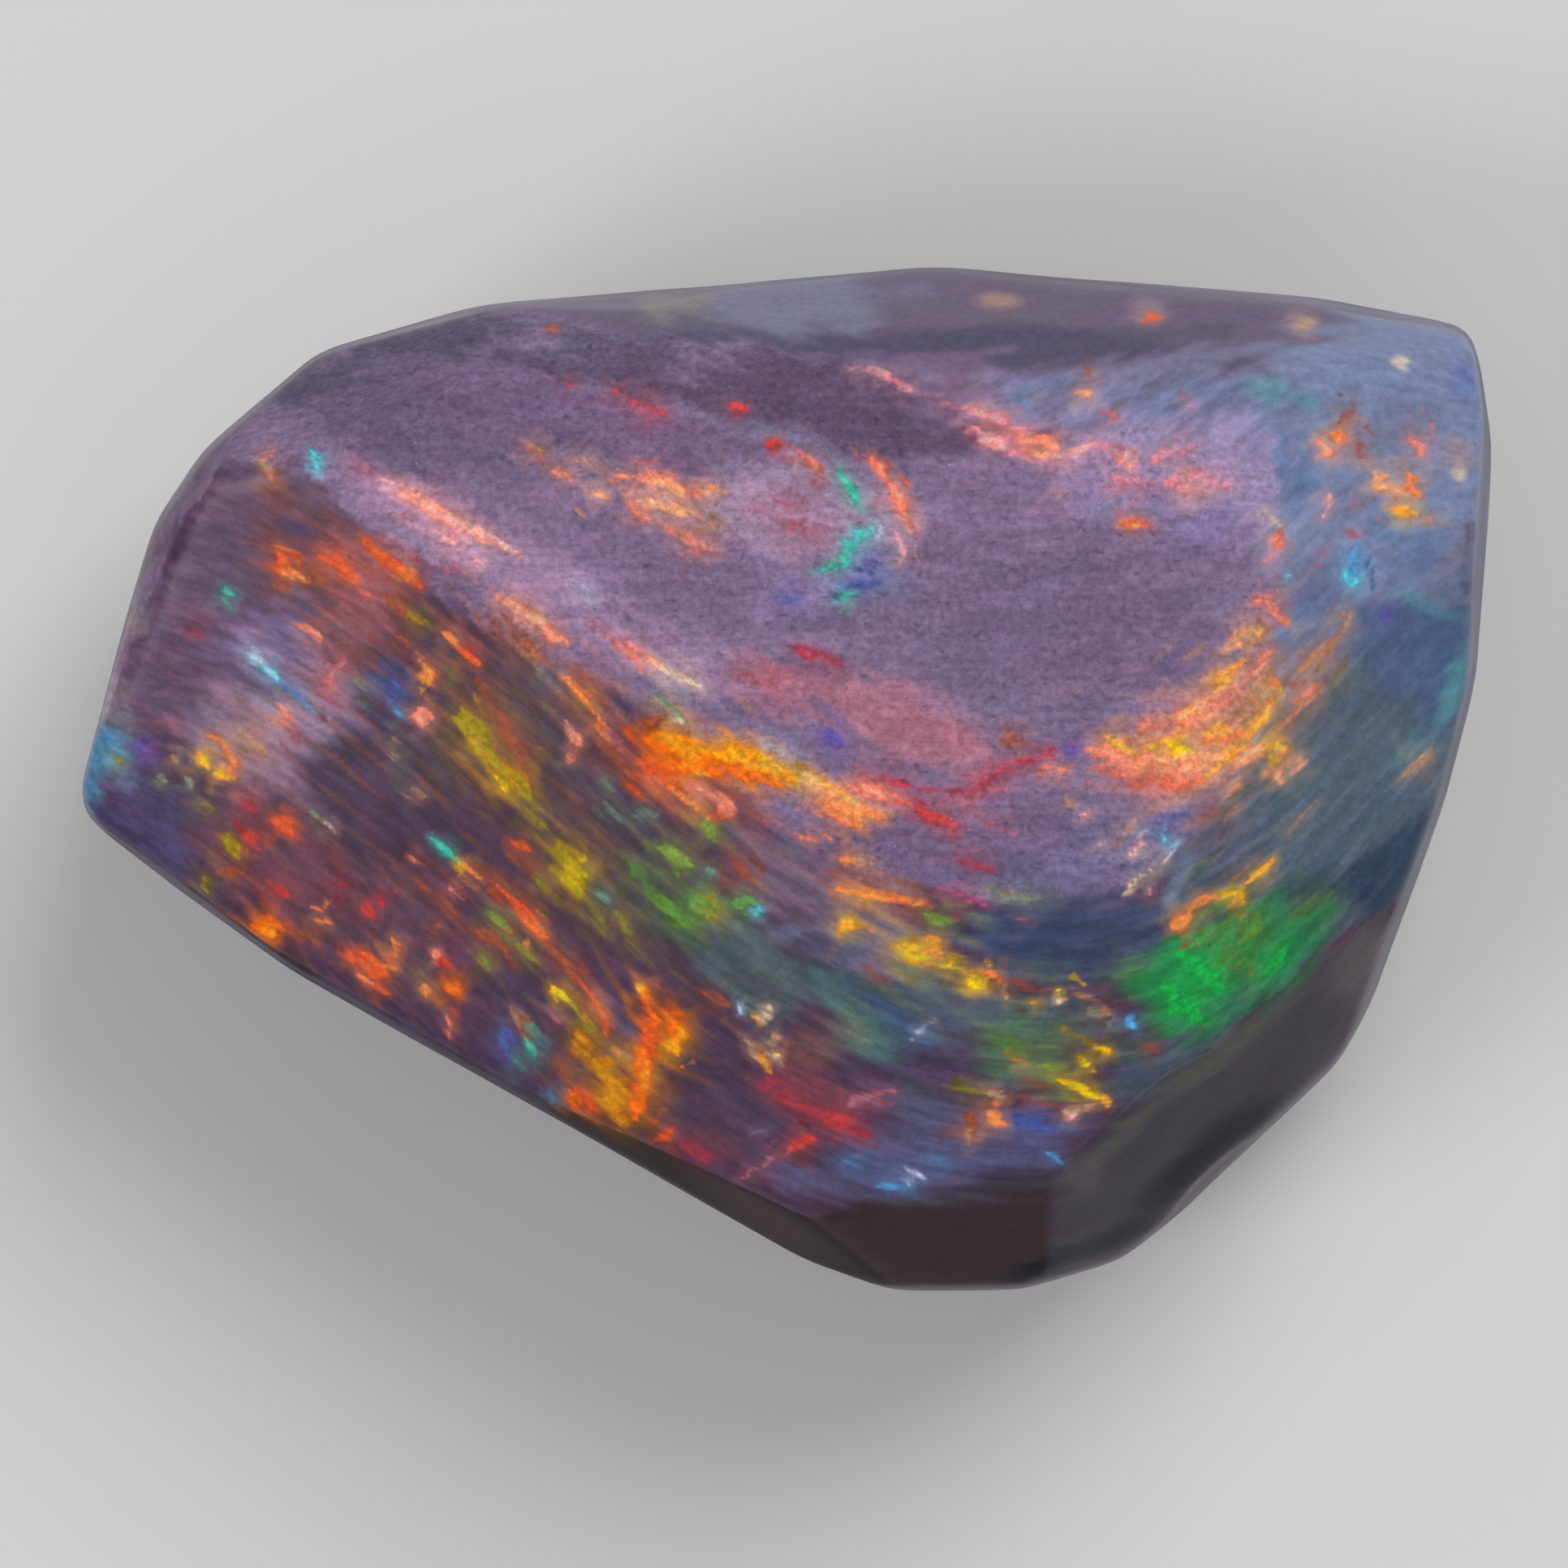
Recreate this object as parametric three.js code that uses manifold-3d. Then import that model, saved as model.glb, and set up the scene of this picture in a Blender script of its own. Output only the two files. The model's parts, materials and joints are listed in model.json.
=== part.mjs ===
// Opal rub: a lump of semi-black opal about 22 mm long, ground flat on a wheel to show its colour.
// One natural stone, so one solid. Millimetres, +Z up, the ground base lies on z = 0.
// +X runs along the stone, +Y across it, and the large frosted table looks up.
import * as THREE from 'three';
import { mergeVertices } from 'three/addons/utils/BufferGeometryUtils.js';
import Module from 'manifold-3d';

const wasm = await Module();
wasm.setup();

// The stone before grinding: a block larger than the finished stone on every side.
const BLOCK_LENGTH = 26;
const BLOCK_WIDTH = 20;
const BLOCK_HEIGHT = 12;

// Width of the strip that rounds the edge where two ground faces meet.
const SOFT_EDGE = 0.34;
const FLATTEST_EDGE = 6;

// Ground faces. `toward` is the compass direction the face looks, in degrees from +X to +Y, and
// `tilt` its lean: 0 looks straight up, 90 is an upright wall and more than 90 looks down.
const TOP_FACES = [
  { name: 'table', toward: 80, tilt: 2, at: [1.4, -1.6, 9.3] },
  { name: 'back of the table', toward: 86, tilt: 5, at: [0, 4.85, 9.08] },
  { name: 'left window', toward: 228, tilt: 26, at: [-4.6, 2.5, 9.18] },
  { name: 'middle window', toward: 233, tilt: 20, at: [-1.6, 0.4, 9.23] },
  { name: 'front window', toward: 268, tilt: 17, at: [3.6, -1.9, 9.28] },
  { name: 'right front window', toward: 334, tilt: 33, at: [7.2, -2, 8.35] },
  { name: 'right window', toward: 350, tilt: 23, at: [7.5, 2, 9.12] },
  { name: 'right back window', toward: 20, tilt: 27, at: [7.6, 5.4, 8.85] },
];

const BEVELS = [
  { name: 'back shoulder', toward: 91, tilt: 34, at: [0.4, 6.2, 8.85] },
  { name: 'back bevel', toward: 91, tilt: 66, at: [1.6, 6.95, 8.1] },
  { name: 'back left bevel', toward: 112, tilt: 58, at: [-6, 6, 8.2] },
  { name: 'back right bevel', toward: 82, tilt: 62, at: [7.8, 6.75, 7.7] },
  { name: 'broad front right bevel', toward: 305, tilt: 60, at: [5.1, -5.15, 8.1] },
  { name: 'right end bevel', toward: 318, tilt: 60, at: [8.7, -2.3, 7.4] },
  { name: 'front bevel', toward: 275, tilt: 55, at: [3.95, -5.95, 8.05] },
  { name: 'narrow front left bevel', toward: 244, tilt: 76, at: [-1.35, -5.9, 7.2] },
  { name: 'left end bevel', toward: 167, tilt: 68, at: [-10.35, 1.4, 6.7] },
];

const WALLS = [
  { name: 'left tip', toward: 192, tilt: 84, at: [-10.95, -0.3, 4.6] },
  { name: 'left end', toward: 164, tilt: 85, at: [-10.35, 1.95, 5] },
  { name: 'left end corner', toward: 147, tilt: 84, at: [-9.35, 4.7, 4.5] },
  { name: 'back left corner', toward: 130, tilt: 84, at: [-8.05, 6, 4.5] },
  { name: 'back left', toward: 105, tilt: 84, at: [-6.05, 7.05, 4] },
  { name: 'back', toward: 95, tilt: 85, at: [-1.45, 7.7, 4] },
  { name: 'back right', toward: 85, tilt: 85, at: [5.35, 7.76, 4] },
  { name: 'far back right', toward: 81, tilt: 84, at: [9.1, 7.36, 4] },
  { name: 'back right corner', toward: 35, tilt: 84, at: [10.65, 6.9, 4.5] },
  { name: 'right end at the back', toward: 8, tilt: 85, at: [10.9, 5.5, 4.5] },
  { name: 'right end', toward: -3, tilt: 84, at: [10.8, 3.4, 4.8] },
  { name: 'right end at the middle', toward: -15, tilt: 84, at: [10.38, 0.35, 4.8] },
  { name: 'right end at the front', toward: -21, tilt: 84, at: [9.6, -2.12, 4] },
  { name: 'front right shoulder', toward: -30, tilt: 86, at: [8.9, -3.94, 3.5] },
  { name: 'front right', toward: -46, tilt: 86, at: [7.62, -5.42, 3.2] },
  { name: 'front right corner', toward: -52, tilt: 86, at: [6.05, -6.9, 3.2] },
  { name: 'front nose, right', toward: -73, tilt: 86, at: [4.35, -7.8, 3.2] },
  { name: 'front nose', toward: -90, tilt: 86, at: [2.7, -8, 3.2] },
  { name: 'front nose, left', toward: -109, tilt: 86, at: [1.05, -7.8, 3.2] },
  { name: 'front left', toward: -117.5, tilt: 86, at: [-1.85, -6.52, 3] },
  { name: 'front left, middle', toward: -119.5, tilt: 86, at: [-5.15, -4.48, 3] },
  { name: 'front left, end', toward: -126, tilt: 86, at: [-9.1, -1.9, 4.5] },
];

const UNDERSIDE = [
  { name: 'under the back', toward: 92, tilt: 112, at: [0, 7.75, 3.6] },
  { name: 'under the back left corner', toward: 128, tilt: 118, at: [-7.95, 5.9, 3.8] },
  { name: 'under the left end', toward: 178, tilt: 124, at: [-10.8, 1, 3.7] },
  { name: 'under the front left', toward: 240, tilt: 110, at: [-5.1, -4.6, 2.9] },
  { name: 'under the front', toward: 275, tilt: 116, at: [2.7, -7.9, 2.9] },
  { name: 'under the front right', toward: 318, tilt: 113, at: [7.2, -6.1, 2.8] },
  { name: 'under the right end', toward: 352, tilt: 117, at: [10.8, 1.5, 3.8] },
  { name: 'under the back right corner', toward: 45, tilt: 122, at: [10.1, 7.1, 3.7] },
  { name: 'base', toward: 0, tilt: 180, at: [0, 0, 0] },
];

// Shell-shaped scars where flakes broke away. `from` is a point inside the stone, and the scar lies
// where a line from it, in the direction that `toward` and `tilt` give, leaves the ground faces.
const SCARS = [
  { name: 'notch in the left end', from: [-9, 3.5, 5.6], toward: 160, tilt: 86, radius: 0.9, depth: 0.2 },
  { name: 'nibbled left corner', from: [-8, 4.2, 7], toward: 150, tilt: 55, radius: 0.8, depth: 0.18 },
  { name: 'hollow in the back edge', from: [-2.3, 6, 6.2], toward: 94, tilt: 80, radius: 5, depth: 0.12 },
  { name: 'dent in the front right', from: [5, -4, 4], toward: -49, tilt: 80, radius: 4, depth: 0.14 },
  { name: 'scar under the back', from: [4, 5, 2], toward: 88, tilt: 112, radius: 6, depth: 0.5 },
  { name: 'scar under the left end', from: [-7, 1.4, 2.4], toward: 182, tilt: 122, radius: 5, depth: 0.5 },
  { name: 'scar under the front', from: [2.4, -5, 2], toward: 285, tilt: 114, radius: 5, depth: 0.45 },
  { name: 'scar under the right end', from: [8, 0.6, 2], toward: 350, tilt: 116, radius: 4, depth: 0.4 },
];

// Open pits in the dull potch of the base.
const BASE_PITS = [
  { at: [-5.2, 1.6], radius: 0.7, depth: 0.3 },
  { at: [-3.9, 2.3], radius: 0.45, depth: 0.22 },
  { at: [2.6, 3.1], radius: 0.8, depth: 0.3 },
  { at: [5.4, -1.7], radius: 0.55, depth: 0.25 },
  { at: [0.8, -3.4], radius: 0.6, depth: 0.28 },
];

const SCAR_SEGMENTS = 56;
const PIT_SEGMENTS = 20;

const stoneMaterial = new THREE.MeshStandardMaterial({
  color: 0x5d5068,
  roughness: 0.35,
  metalness: 0,
  flatShading: true,
});

function direction(toward, tilt) {
  const around = THREE.MathUtils.degToRad(toward);
  const down = THREE.MathUtils.degToRad(tilt);
  return new THREE.Vector3(
    Math.sin(down) * Math.cos(around),
    Math.sin(down) * Math.sin(around),
    Math.cos(down),
  );
}

// A closed three.js geometry, placed by a matrix, as a solid that can be joined and cut.
function solidFrom(geometry, placement) {
  const shape = geometry.clone().applyMatrix4(placement);
  shape.deleteAttribute('normal');
  shape.deleteAttribute('uv');
  const merged = mergeVertices(shape);
  return new wasm.Manifold(new wasm.Mesh({
    numProp: 3,
    vertProperties: new Float32Array(merged.attributes.position.array),
    triVerts: new Uint32Array(merged.index.array),
  }));
}

function geometryFrom(solid) {
  const mesh = solid.getMesh();
  const geometry = new THREE.BufferGeometry();
  geometry.setAttribute('position', new THREE.BufferAttribute(mesh.vertProperties, 3));
  geometry.setIndex(new THREE.BufferAttribute(mesh.triVerts, 1));
  return geometry;
}

// Takes off everything on the outer side of a plane, as a grinding wheel does.
const wheelSize = 2 * (BLOCK_LENGTH + BLOCK_WIDTH);
const wheel = new THREE.BoxGeometry(wheelSize, wheelSize, wheelSize);

function grind(stone, plane) {
  const turn = new THREE.Quaternion().setFromUnitVectors(new THREE.Vector3(0, 0, 1), plane.normal);
  const centre = plane.normal.clone().multiplyScalar(wheelSize / 2 - plane.constant);
  const placement = new THREE.Matrix4().compose(centre, turn, new THREE.Vector3(1, 1, 1));
  return stone.subtract(solidFrom(wheel, placement));
}

// The midpoint of the edge that two faces share on the finished stone, or null where they don't meet.
function sharedEdge(first, second, planes) {
  const along = new THREE.Vector3().crossVectors(first.normal, second.normal);
  const squareLength = along.lengthSq();
  const start = new THREE.Vector3()
    .addScaledVector(new THREE.Vector3().crossVectors(second.normal, along), -first.constant)
    .addScaledVector(new THREE.Vector3().crossVectors(along, first.normal), -second.constant)
    .divideScalar(squareLength);
  along.divideScalar(Math.sqrt(squareLength));
  let near = -wheelSize;
  let far = wheelSize;
  for (const plane of planes) {
    if (plane === first || plane === second) continue;
    const closing = plane.normal.dot(along);
    const crossing = -plane.distanceToPoint(start) / closing;
    if (closing > 0) far = Math.min(far, crossing);
    if (closing < 0) near = Math.max(near, crossing);
  }
  if (far <= near) return null;
  return start.addScaledVector(along, (near + far) / 2);
}

// A narrow plane across each edge, so that no edge of the stone is left sharp.
function softenedEdges(planes) {
  const strips = [];
  planes.forEach((first, index) => {
    for (const second of planes.slice(index + 1)) {
      const bend = first.normal.angleTo(second.normal);
      if (bend < THREE.MathUtils.degToRad(FLATTEST_EDGE)) continue;
      const middle = sharedEdge(first, second, planes);
      if (middle === null) continue;
      const outward = first.normal.clone().add(second.normal).normalize();
      const depth = SOFT_EDGE / 2 * Math.tan(bend / 4);
      const inner = middle.addScaledVector(outward, -depth);
      strips.push(new THREE.Plane().setFromNormalAndCoplanarPoint(outward, inner));
    }
  });
  return strips;
}

function planeOf(face) {
  const normal = direction(face.toward, face.tilt);
  return new THREE.Plane().setFromNormalAndCoplanarPoint(normal, new THREE.Vector3(...face.at));
}

function groundStone(planes) {
  const block = new THREE.BoxGeometry(BLOCK_LENGTH, BLOCK_WIDTH, BLOCK_HEIGHT);
  const raised = new THREE.Matrix4().makeTranslation(0, 0, BLOCK_HEIGHT / 2);
  let stone = solidFrom(block, raised);
  for (const plane of planes) stone = grind(stone, plane);
  for (const strip of softenedEdges(planes)) stone = grind(stone, strip);
  return stone;
}

// How far a line runs inside the ground faces before it leaves the stone.
function reach(inside, outward, planes) {
  const distances = planes
    .filter((plane) => plane.normal.dot(outward) > 0)
    .map((plane) => -plane.distanceToPoint(inside) / plane.normal.dot(outward));
  return Math.min(...distances);
}

function ballAt(centre, radius, segments) {
  const ball = new THREE.SphereGeometry(radius, segments, segments / 2);
  return solidFrom(ball, new THREE.Matrix4().makeTranslation(centre.x, centre.y, centre.z));
}

function scarred(stone, planes) {
  let worn = stone;
  for (const scar of SCARS) {
    const inside = new THREE.Vector3(...scar.from);
    const outward = direction(scar.toward, scar.tilt);
    const toCentre = reach(inside, outward, planes) + scar.radius - scar.depth;
    const centre = inside.addScaledVector(outward, toCentre);
    worn = worn.subtract(ballAt(centre, scar.radius, SCAR_SEGMENTS));
  }
  for (const pit of BASE_PITS) {
    const centre = new THREE.Vector3(...pit.at, pit.depth - pit.radius);
    worn = worn.subtract(ballAt(centre, pit.radius, PIT_SEGMENTS));
  }
  return worn;
}

const facePlanes = [...TOP_FACES, ...BEVELS, ...WALLS, ...UNDERSIDE].map(planeOf);
const solid = scarred(groundStone(facePlanes), facePlanes);

const stone = new THREE.Mesh(geometryFrom(solid), stoneMaterial);
stone.name = 'opal_rub';

const part = new THREE.Group();
part.add(stone);

export default part;
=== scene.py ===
# %% [markdown]
# # An opal rub
#
# An opal rub is a lump of rough opal that has been held against a grinding wheel until its colour
# shows. This one is a semi-black opal about 22 mm long. Its top is one large frosted table, left by
# the coarse wheel, with clearer sloping windows around it, plain bevels along the front and the
# back, and a dull grey base of potch, which is opal without colour. Everything that makes it look
# like opal lies under the skin: soft coloured clouds, and on them sharp streaks of pure colour.

# %% Load the ground stone
import json
import math

import bpy
import numpy as np
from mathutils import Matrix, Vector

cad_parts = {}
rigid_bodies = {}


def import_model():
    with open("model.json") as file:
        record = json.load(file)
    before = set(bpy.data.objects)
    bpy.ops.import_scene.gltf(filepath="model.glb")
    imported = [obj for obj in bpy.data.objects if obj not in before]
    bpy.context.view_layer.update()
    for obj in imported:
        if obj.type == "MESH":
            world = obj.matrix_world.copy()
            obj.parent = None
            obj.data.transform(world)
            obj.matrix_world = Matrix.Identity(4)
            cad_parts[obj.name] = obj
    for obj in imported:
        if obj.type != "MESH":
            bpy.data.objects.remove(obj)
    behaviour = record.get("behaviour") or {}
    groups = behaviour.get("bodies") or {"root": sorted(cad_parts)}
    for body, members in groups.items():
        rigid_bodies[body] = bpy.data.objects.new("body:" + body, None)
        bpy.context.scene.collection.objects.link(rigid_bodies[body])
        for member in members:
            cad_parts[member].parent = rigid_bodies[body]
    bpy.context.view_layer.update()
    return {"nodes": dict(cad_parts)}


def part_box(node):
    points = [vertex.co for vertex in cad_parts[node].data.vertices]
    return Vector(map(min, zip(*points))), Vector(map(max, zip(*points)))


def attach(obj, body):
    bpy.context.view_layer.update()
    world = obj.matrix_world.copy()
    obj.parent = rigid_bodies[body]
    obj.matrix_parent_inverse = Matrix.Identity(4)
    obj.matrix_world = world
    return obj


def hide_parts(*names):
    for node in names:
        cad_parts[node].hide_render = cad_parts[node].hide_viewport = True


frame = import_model()
MM = 0.001
STONE_NODE = "opal_rub"
ground = frame["nodes"][STONE_NODE]
low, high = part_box(STONE_NODE)
print("stone in mm:", [round(v / MM, 2) for v in high - low])

# %% [markdown]
# ## Camera
#
# The stone lies on its base and is seen from straight above, with its long side across the view.
# A long lens from 150 mm away keeps the bevels as narrow as a macro lens would. The lens is worked
# out from the width that the picture should take in at the height of the table.

# %% Camera
CAMERA_HEIGHT = 150 * MM
VIEW_WIDTH = 23.57 * MM
SENSOR = 36.0
AIM_X = -0.03 * MM
AIM_Y = -0.06 * MM

scene = bpy.context.scene
table_height = high.z
lens = SENSOR * (CAMERA_HEIGHT - table_height) / VIEW_WIDTH
bpy.ops.object.camera_add(location=(AIM_X, AIM_Y, CAMERA_HEIGHT), rotation=(0, 0, 0))
camera = bpy.context.object
camera.name = "camera"
camera.data.lens = lens
camera.data.sensor_width = SENSOR
camera.data.clip_start = 1 * MM
scene.camera = camera
print("lens in mm:", round(lens, 1))

# %% [markdown]
# ## Floor and light
#
# A plain pale floor and soft light. A wide panel over the back right gives the bevels their pale
# rims, a smaller one over the left gives the soft shine on the left window, a weak one in front
# opens up the dark bevels, and a dim white room fills the shadows. The shine on the left window and
# the pale rim at the bottom of the lower right bevel are also painted into the stone's colour, as a
# painted reflection and a painted rim of light. The room stays dim because a polished stone mirrors
# it, and that would wash the dark colours out.

# %% Floor and light
FLOOR_SIZE = 1.2
FLOOR_TONE = 0.62
FLOOR_ROUGHNESS = 0.9
ROOM_LIGHT = 0.42
# name, compass direction, tilt from straight up, distance and size in metres, and watts
PANELS = [
    ("back right panel", 58, 46, 0.45, 0.30, 1.35),
    ("left panel", 205, 50, 0.40, 0.16, 0.50),
    ("front panel", 300, 62, 0.50, 0.30, 0.12),
]


def flat_material(name, tone, roughness):
    material = bpy.data.materials.new(name)
    material.use_nodes = True
    shader = material.node_tree.nodes["Principled BSDF"]
    shader.inputs["Base Color"].default_value = (tone, tone, tone, 1)
    shader.inputs["Roughness"].default_value = roughness
    return material


def light_panel(name, toward, tilt, distance, size, watts):
    around, down = math.radians(toward), math.radians(tilt)
    place = [
        distance * math.sin(down) * math.cos(around),
        distance * math.sin(down) * math.sin(around),
        distance * math.cos(down),
    ]
    bpy.ops.object.light_add(type="AREA", location=place, rotation=(0, down, around))
    panel = bpy.context.object
    panel.name = name
    panel.data.shape = "DISK"
    panel.data.size = size
    panel.data.energy = watts
    return panel


bpy.ops.mesh.primitive_plane_add(size=FLOOR_SIZE, location=(0, 0, 0))
floor = bpy.context.object
floor.name = "floor"
floor.data.materials.append(flat_material("pale floor", FLOOR_TONE, FLOOR_ROUGHNESS))

for panel in PANELS:
    light_panel(*panel)

room = bpy.data.worlds.new("dim room")
room.use_nodes = True
room.node_tree.nodes["Background"].inputs["Color"].default_value = (1, 1, 1, 1)
room.node_tree.nodes["Background"].inputs["Strength"].default_value = ROOM_LIGHT
scene.world = room
scene.view_settings.view_transform = "Standard"

# %% [markdown]
# ## The stone's own mesh
#
# The ground solid is made of flat faces with narrow softened edges. A real stone has no straight
# edge at all: the wheel rolls over every one of them. A copy of the solid is merged into one skin,
# remeshed into small even squares, and made finer where the colour is looked at from close by. A
# cube cut by bisect could give the same faces, but the copy keeps them exactly where they are.

# %% Copy the ground solid and give it an even skin
SQUARE = 0.150 * MM
MERGE_GAP = 0.001 * MM


def alone(piece):
    bpy.ops.object.select_all(action="DESELECT")
    piece.select_set(True)
    bpy.context.view_layer.objects.active = piece


def apply(piece, modifier):
    alone(piece)
    bpy.ops.object.modifier_apply(modifier=modifier.name)


stone = bpy.data.objects.new("opal_stone", ground.data.copy())
scene.collection.objects.link(stone)
stone.data.materials.clear()
alone(stone)
bpy.ops.object.mode_set(mode="EDIT")
bpy.ops.mesh.select_all(action="SELECT")
bpy.ops.mesh.remove_doubles(threshold=MERGE_GAP)
bpy.ops.object.mode_set(mode="OBJECT")

skin = stone.modifiers.new("even skin", "REMESH")
skin.mode = "VOXEL"
skin.voxel_size = SQUARE
apply(stone, skin)
print("squares in the even skin:", len(stone.data.polygons))

# %% [markdown]
# Sharp colour needs small faces, but only on the table and the windows. Subdividing just those,
# with two rings round them, keeps the stone light. The smoothing before and after rounds the
# edges as the wheel does.

# %% Finer squares where the colour lies
FINE_CUTS = 1
LOOKS_UP = 0.6
RINGS_AROUND = 2
SMOOTHING = 0.5
ROUND_BEFORE = 5
ROUND_AFTER = 6

normals = np.empty(len(stone.data.polygons) * 3, np.float32)
stone.data.polygons.foreach_get("normal", normals)
is_top = normals[2::3] > LOOKS_UP
alone(stone)
bpy.ops.object.mode_set(mode="EDIT")
bpy.ops.mesh.select_mode(type="FACE")
bpy.ops.mesh.select_all(action="SELECT")
bpy.ops.mesh.vertices_smooth(factor=SMOOTHING, repeat=ROUND_BEFORE)
bpy.ops.mesh.select_all(action="DESELECT")
bpy.ops.object.mode_set(mode="OBJECT")
stone.data.polygons.foreach_set("select", is_top)
bpy.ops.object.mode_set(mode="EDIT")
for _ in range(RINGS_AROUND):
    bpy.ops.mesh.select_more()
bpy.ops.mesh.subdivide(number_cuts=FINE_CUTS)
bpy.ops.mesh.select_all(action="SELECT")
bpy.ops.mesh.quads_convert_to_tris(quad_method="BEAUTY", ngon_method="BEAUTY")
bpy.ops.mesh.vertices_smooth(factor=SMOOTHING, repeat=ROUND_AFTER)
bpy.ops.object.mode_set(mode="OBJECT")
bpy.ops.object.shade_smooth()
print("triangles:", len(stone.data.polygons))

# %% [markdown]
# ## Reading the skin
#
# Colour is laid on the stone by place, so the vertices are read once as plain arrays in
# millimetres. A few small helpers turn a direction, an oval or a line into a soft mask between
# 0 and 1. The compass angles count from +X towards +Y and a tilt of 0 looks straight up.

# %% Helpers that make soft masks
def skin_arrays(mesh):
    count = len(mesh.vertices)
    places = np.empty(count * 3, np.float32)
    looks = np.empty(count * 3, np.float32)
    mesh.vertices.foreach_get("co", places)
    mesh.vertex_normals.foreach_get("vector", looks)
    return places.reshape(-1, 3) / MM, looks.reshape(-1, 3)


def ramp(value, start, end):
    share = np.clip((value - start) / (end - start), 0, 1)
    return share * share * (3 - 2 * share)


def direction(toward, tilt):
    around, down = math.radians(toward), math.radians(tilt)
    flat = math.sin(down)
    return np.array([flat * math.cos(around), flat * math.sin(around), math.cos(down)])


def looking(looks, toward, tilt, within, blur=4):
    angle = np.degrees(np.arccos(np.clip(looks @ direction(toward, tilt), -1, 1)))
    return ramp(-angle, -(within + blur), -(within - blur))


def oval(places, centre, half_length, half_width, lean):
    turn = math.radians(lean)
    dx = places[:, 0] - centre[0]
    dy = places[:, 1] - centre[1]
    along = (dx * math.cos(turn) + dy * math.sin(turn)) / half_length
    across = (dy * math.cos(turn) - dx * math.sin(turn)) / half_width
    return np.exp(-0.9 * (along * along + across * across))


def line_distance(places, start, end):
    step = np.subtract(end, start)
    share = ((places[:, :2] - start) @ step) / max(step @ step, 1e-9)
    share = np.clip(share, 0, 1)
    nearest = start + share[:, None] * step
    return np.linalg.norm(places[:, :2] - nearest, axis=1), share


places, looks = skin_arrays(stone.data)
print("vertices read:", len(places))

# %% [markdown]
# ## Gentle unevenness
#
# Hand grinding leaves long shallow waves that bend the reflections, and the potch under the stone
# is lumpy and pitted because no wheel has cleaned it. Both are real shape, so they are made with
# Displace modifiers on cloud textures. A vertex group keeps the lumps to the underside.

# %% Waves from the wheel and lumps in the potch
# heights in mm
POTCH_TOP, POTCH_FADE = 3.2, 2.2
BASE_KEEPS_FLAT, LUMPS_FULL = 0.05, 0.35
WEIGHT_STEPS = 20
# the compass direction and the tilt of the ground faces that are named below
LOWER_RIGHT_BEVEL = (305, 60)
LOWER_RIGHT_CORNER = (318, 60)
FRONT_BEVEL = (275, 55)
FRONT_CORNER = (258, 68)
THIN_FRONT_EDGE = (244, 76)
LEFT_END = (167, 68)
LOW_RIGHT_WINDOW = (334, 33)
# name, size of the clouds in mm, their depth, the height in mm and the part of the stone
UNEVENNESS = [
    ("wheel waves", 4.5, 1, 0.10, ""),
    ("bevel waves", 2.2, 1, 0.14, "bevel waves"),
    ("potch lumps", 0.8, 3, 0.30, "potch lumps"),
]


def cloud_texture(name, size, depth):
    texture = bpy.data.textures.new(name, "CLOUDS")
    texture.noise_scale = size
    texture.noise_depth = depth
    return texture


def displace(piece, name, size, depth, height, group):
    modifier = piece.modifiers.new(name, "DISPLACE")
    modifier.texture = cloud_texture(name, size, depth)
    modifier.texture_coords = "LOCAL"
    modifier.strength = height
    modifier.mid_level = 0.5
    modifier.vertex_group = group
    apply(piece, modifier)


def set_group(piece, name, weights):
    group = piece.vertex_groups.new(name=name)
    levels = np.round(weights * WEIGHT_STEPS).astype(int)
    for level in range(1, WEIGHT_STEPS + 1):
        members = np.flatnonzero(levels == level).tolist()
        if members:
            group.add(members, level / WEIGHT_STEPS, "REPLACE")


potch = ramp(-places[:, 2], -POTCH_TOP, -POTCH_TOP + POTCH_FADE) * ramp(-looks[:, 2], -0.1, 0.35)
lumps = potch * ramp(places[:, 2], BASE_KEEPS_FLAT, LUMPS_FULL)
smooth_bevel = looking(looks, *LOWER_RIGHT_BEVEL, 14) + looking(looks, *LOWER_RIGHT_CORNER, 10)
smooth_bevel = np.clip(smooth_bevel, 0, 1)
set_group(stone, "potch lumps", lumps)
set_group(stone, "bevel waves", smooth_bevel)
for name, size, depth, height, group in UNEVENNESS:
    displace(stone, name, size * MM, depth, height * MM, group)
print("potch vertices:", int((potch > 0.5).sum()))

# %% [markdown]
# ## The palette
#
# Opal colours are named as a cutter would name them, each as it looks in the finished stone, in the
# usual 0 to 255 steps. The bright ones belong to the flashes and the dusky ones to the body. The
# light in this scene makes every paint look a little brighter and adds a thin haze of shine, so
# `to_paint` works back from the look that is wanted to the paint that gives it.

# %% Colours by name
FLASH_COLOURS = {
    "ember": (234, 96, 52), "orange": (248, 142, 82), "amber": (254, 174, 66), "yellow": (255, 206, 30),
    "gold": (206, 156, 78), "mustard": (170, 140, 36), "olive": (140, 128, 60), "lime": (132, 156, 72),
    "leaf": (98, 142, 66), "green": (104, 158, 86), "emerald": (44, 172, 80), "mint": (112, 142, 124),
    "sage": (140, 150, 122), "teal": (72, 190, 160), "cyan": (96, 214, 224), "sky": (92, 150, 200),
    "ice": (186, 206, 232), "blue": (84, 96, 168), "violet": (108, 92, 170), "red": (214, 72, 66),
    "crimson": (176, 62, 76), "magenta": (186, 84, 128), "rose": (176, 104, 120),
    "salmon": (246, 142, 116), "blush": (252, 184, 178), "rust": (168, 88, 62), "brick": (118, 74, 76),
    "tan": (190, 146, 116), "cream": (230, 200, 168), "lilac": (140, 121, 156), "beige": (158, 132, 136),
    "sea": (92, 142, 150), "coral": (238, 118, 92), "apricot": (250, 174, 126), "pink": (226, 146, 156),
    "hot_amber": (255, 160, 24), "hot_orange": (250, 112, 26), "old_gold": (190, 136, 104),
    "honey": (210, 132, 18),
}
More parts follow.
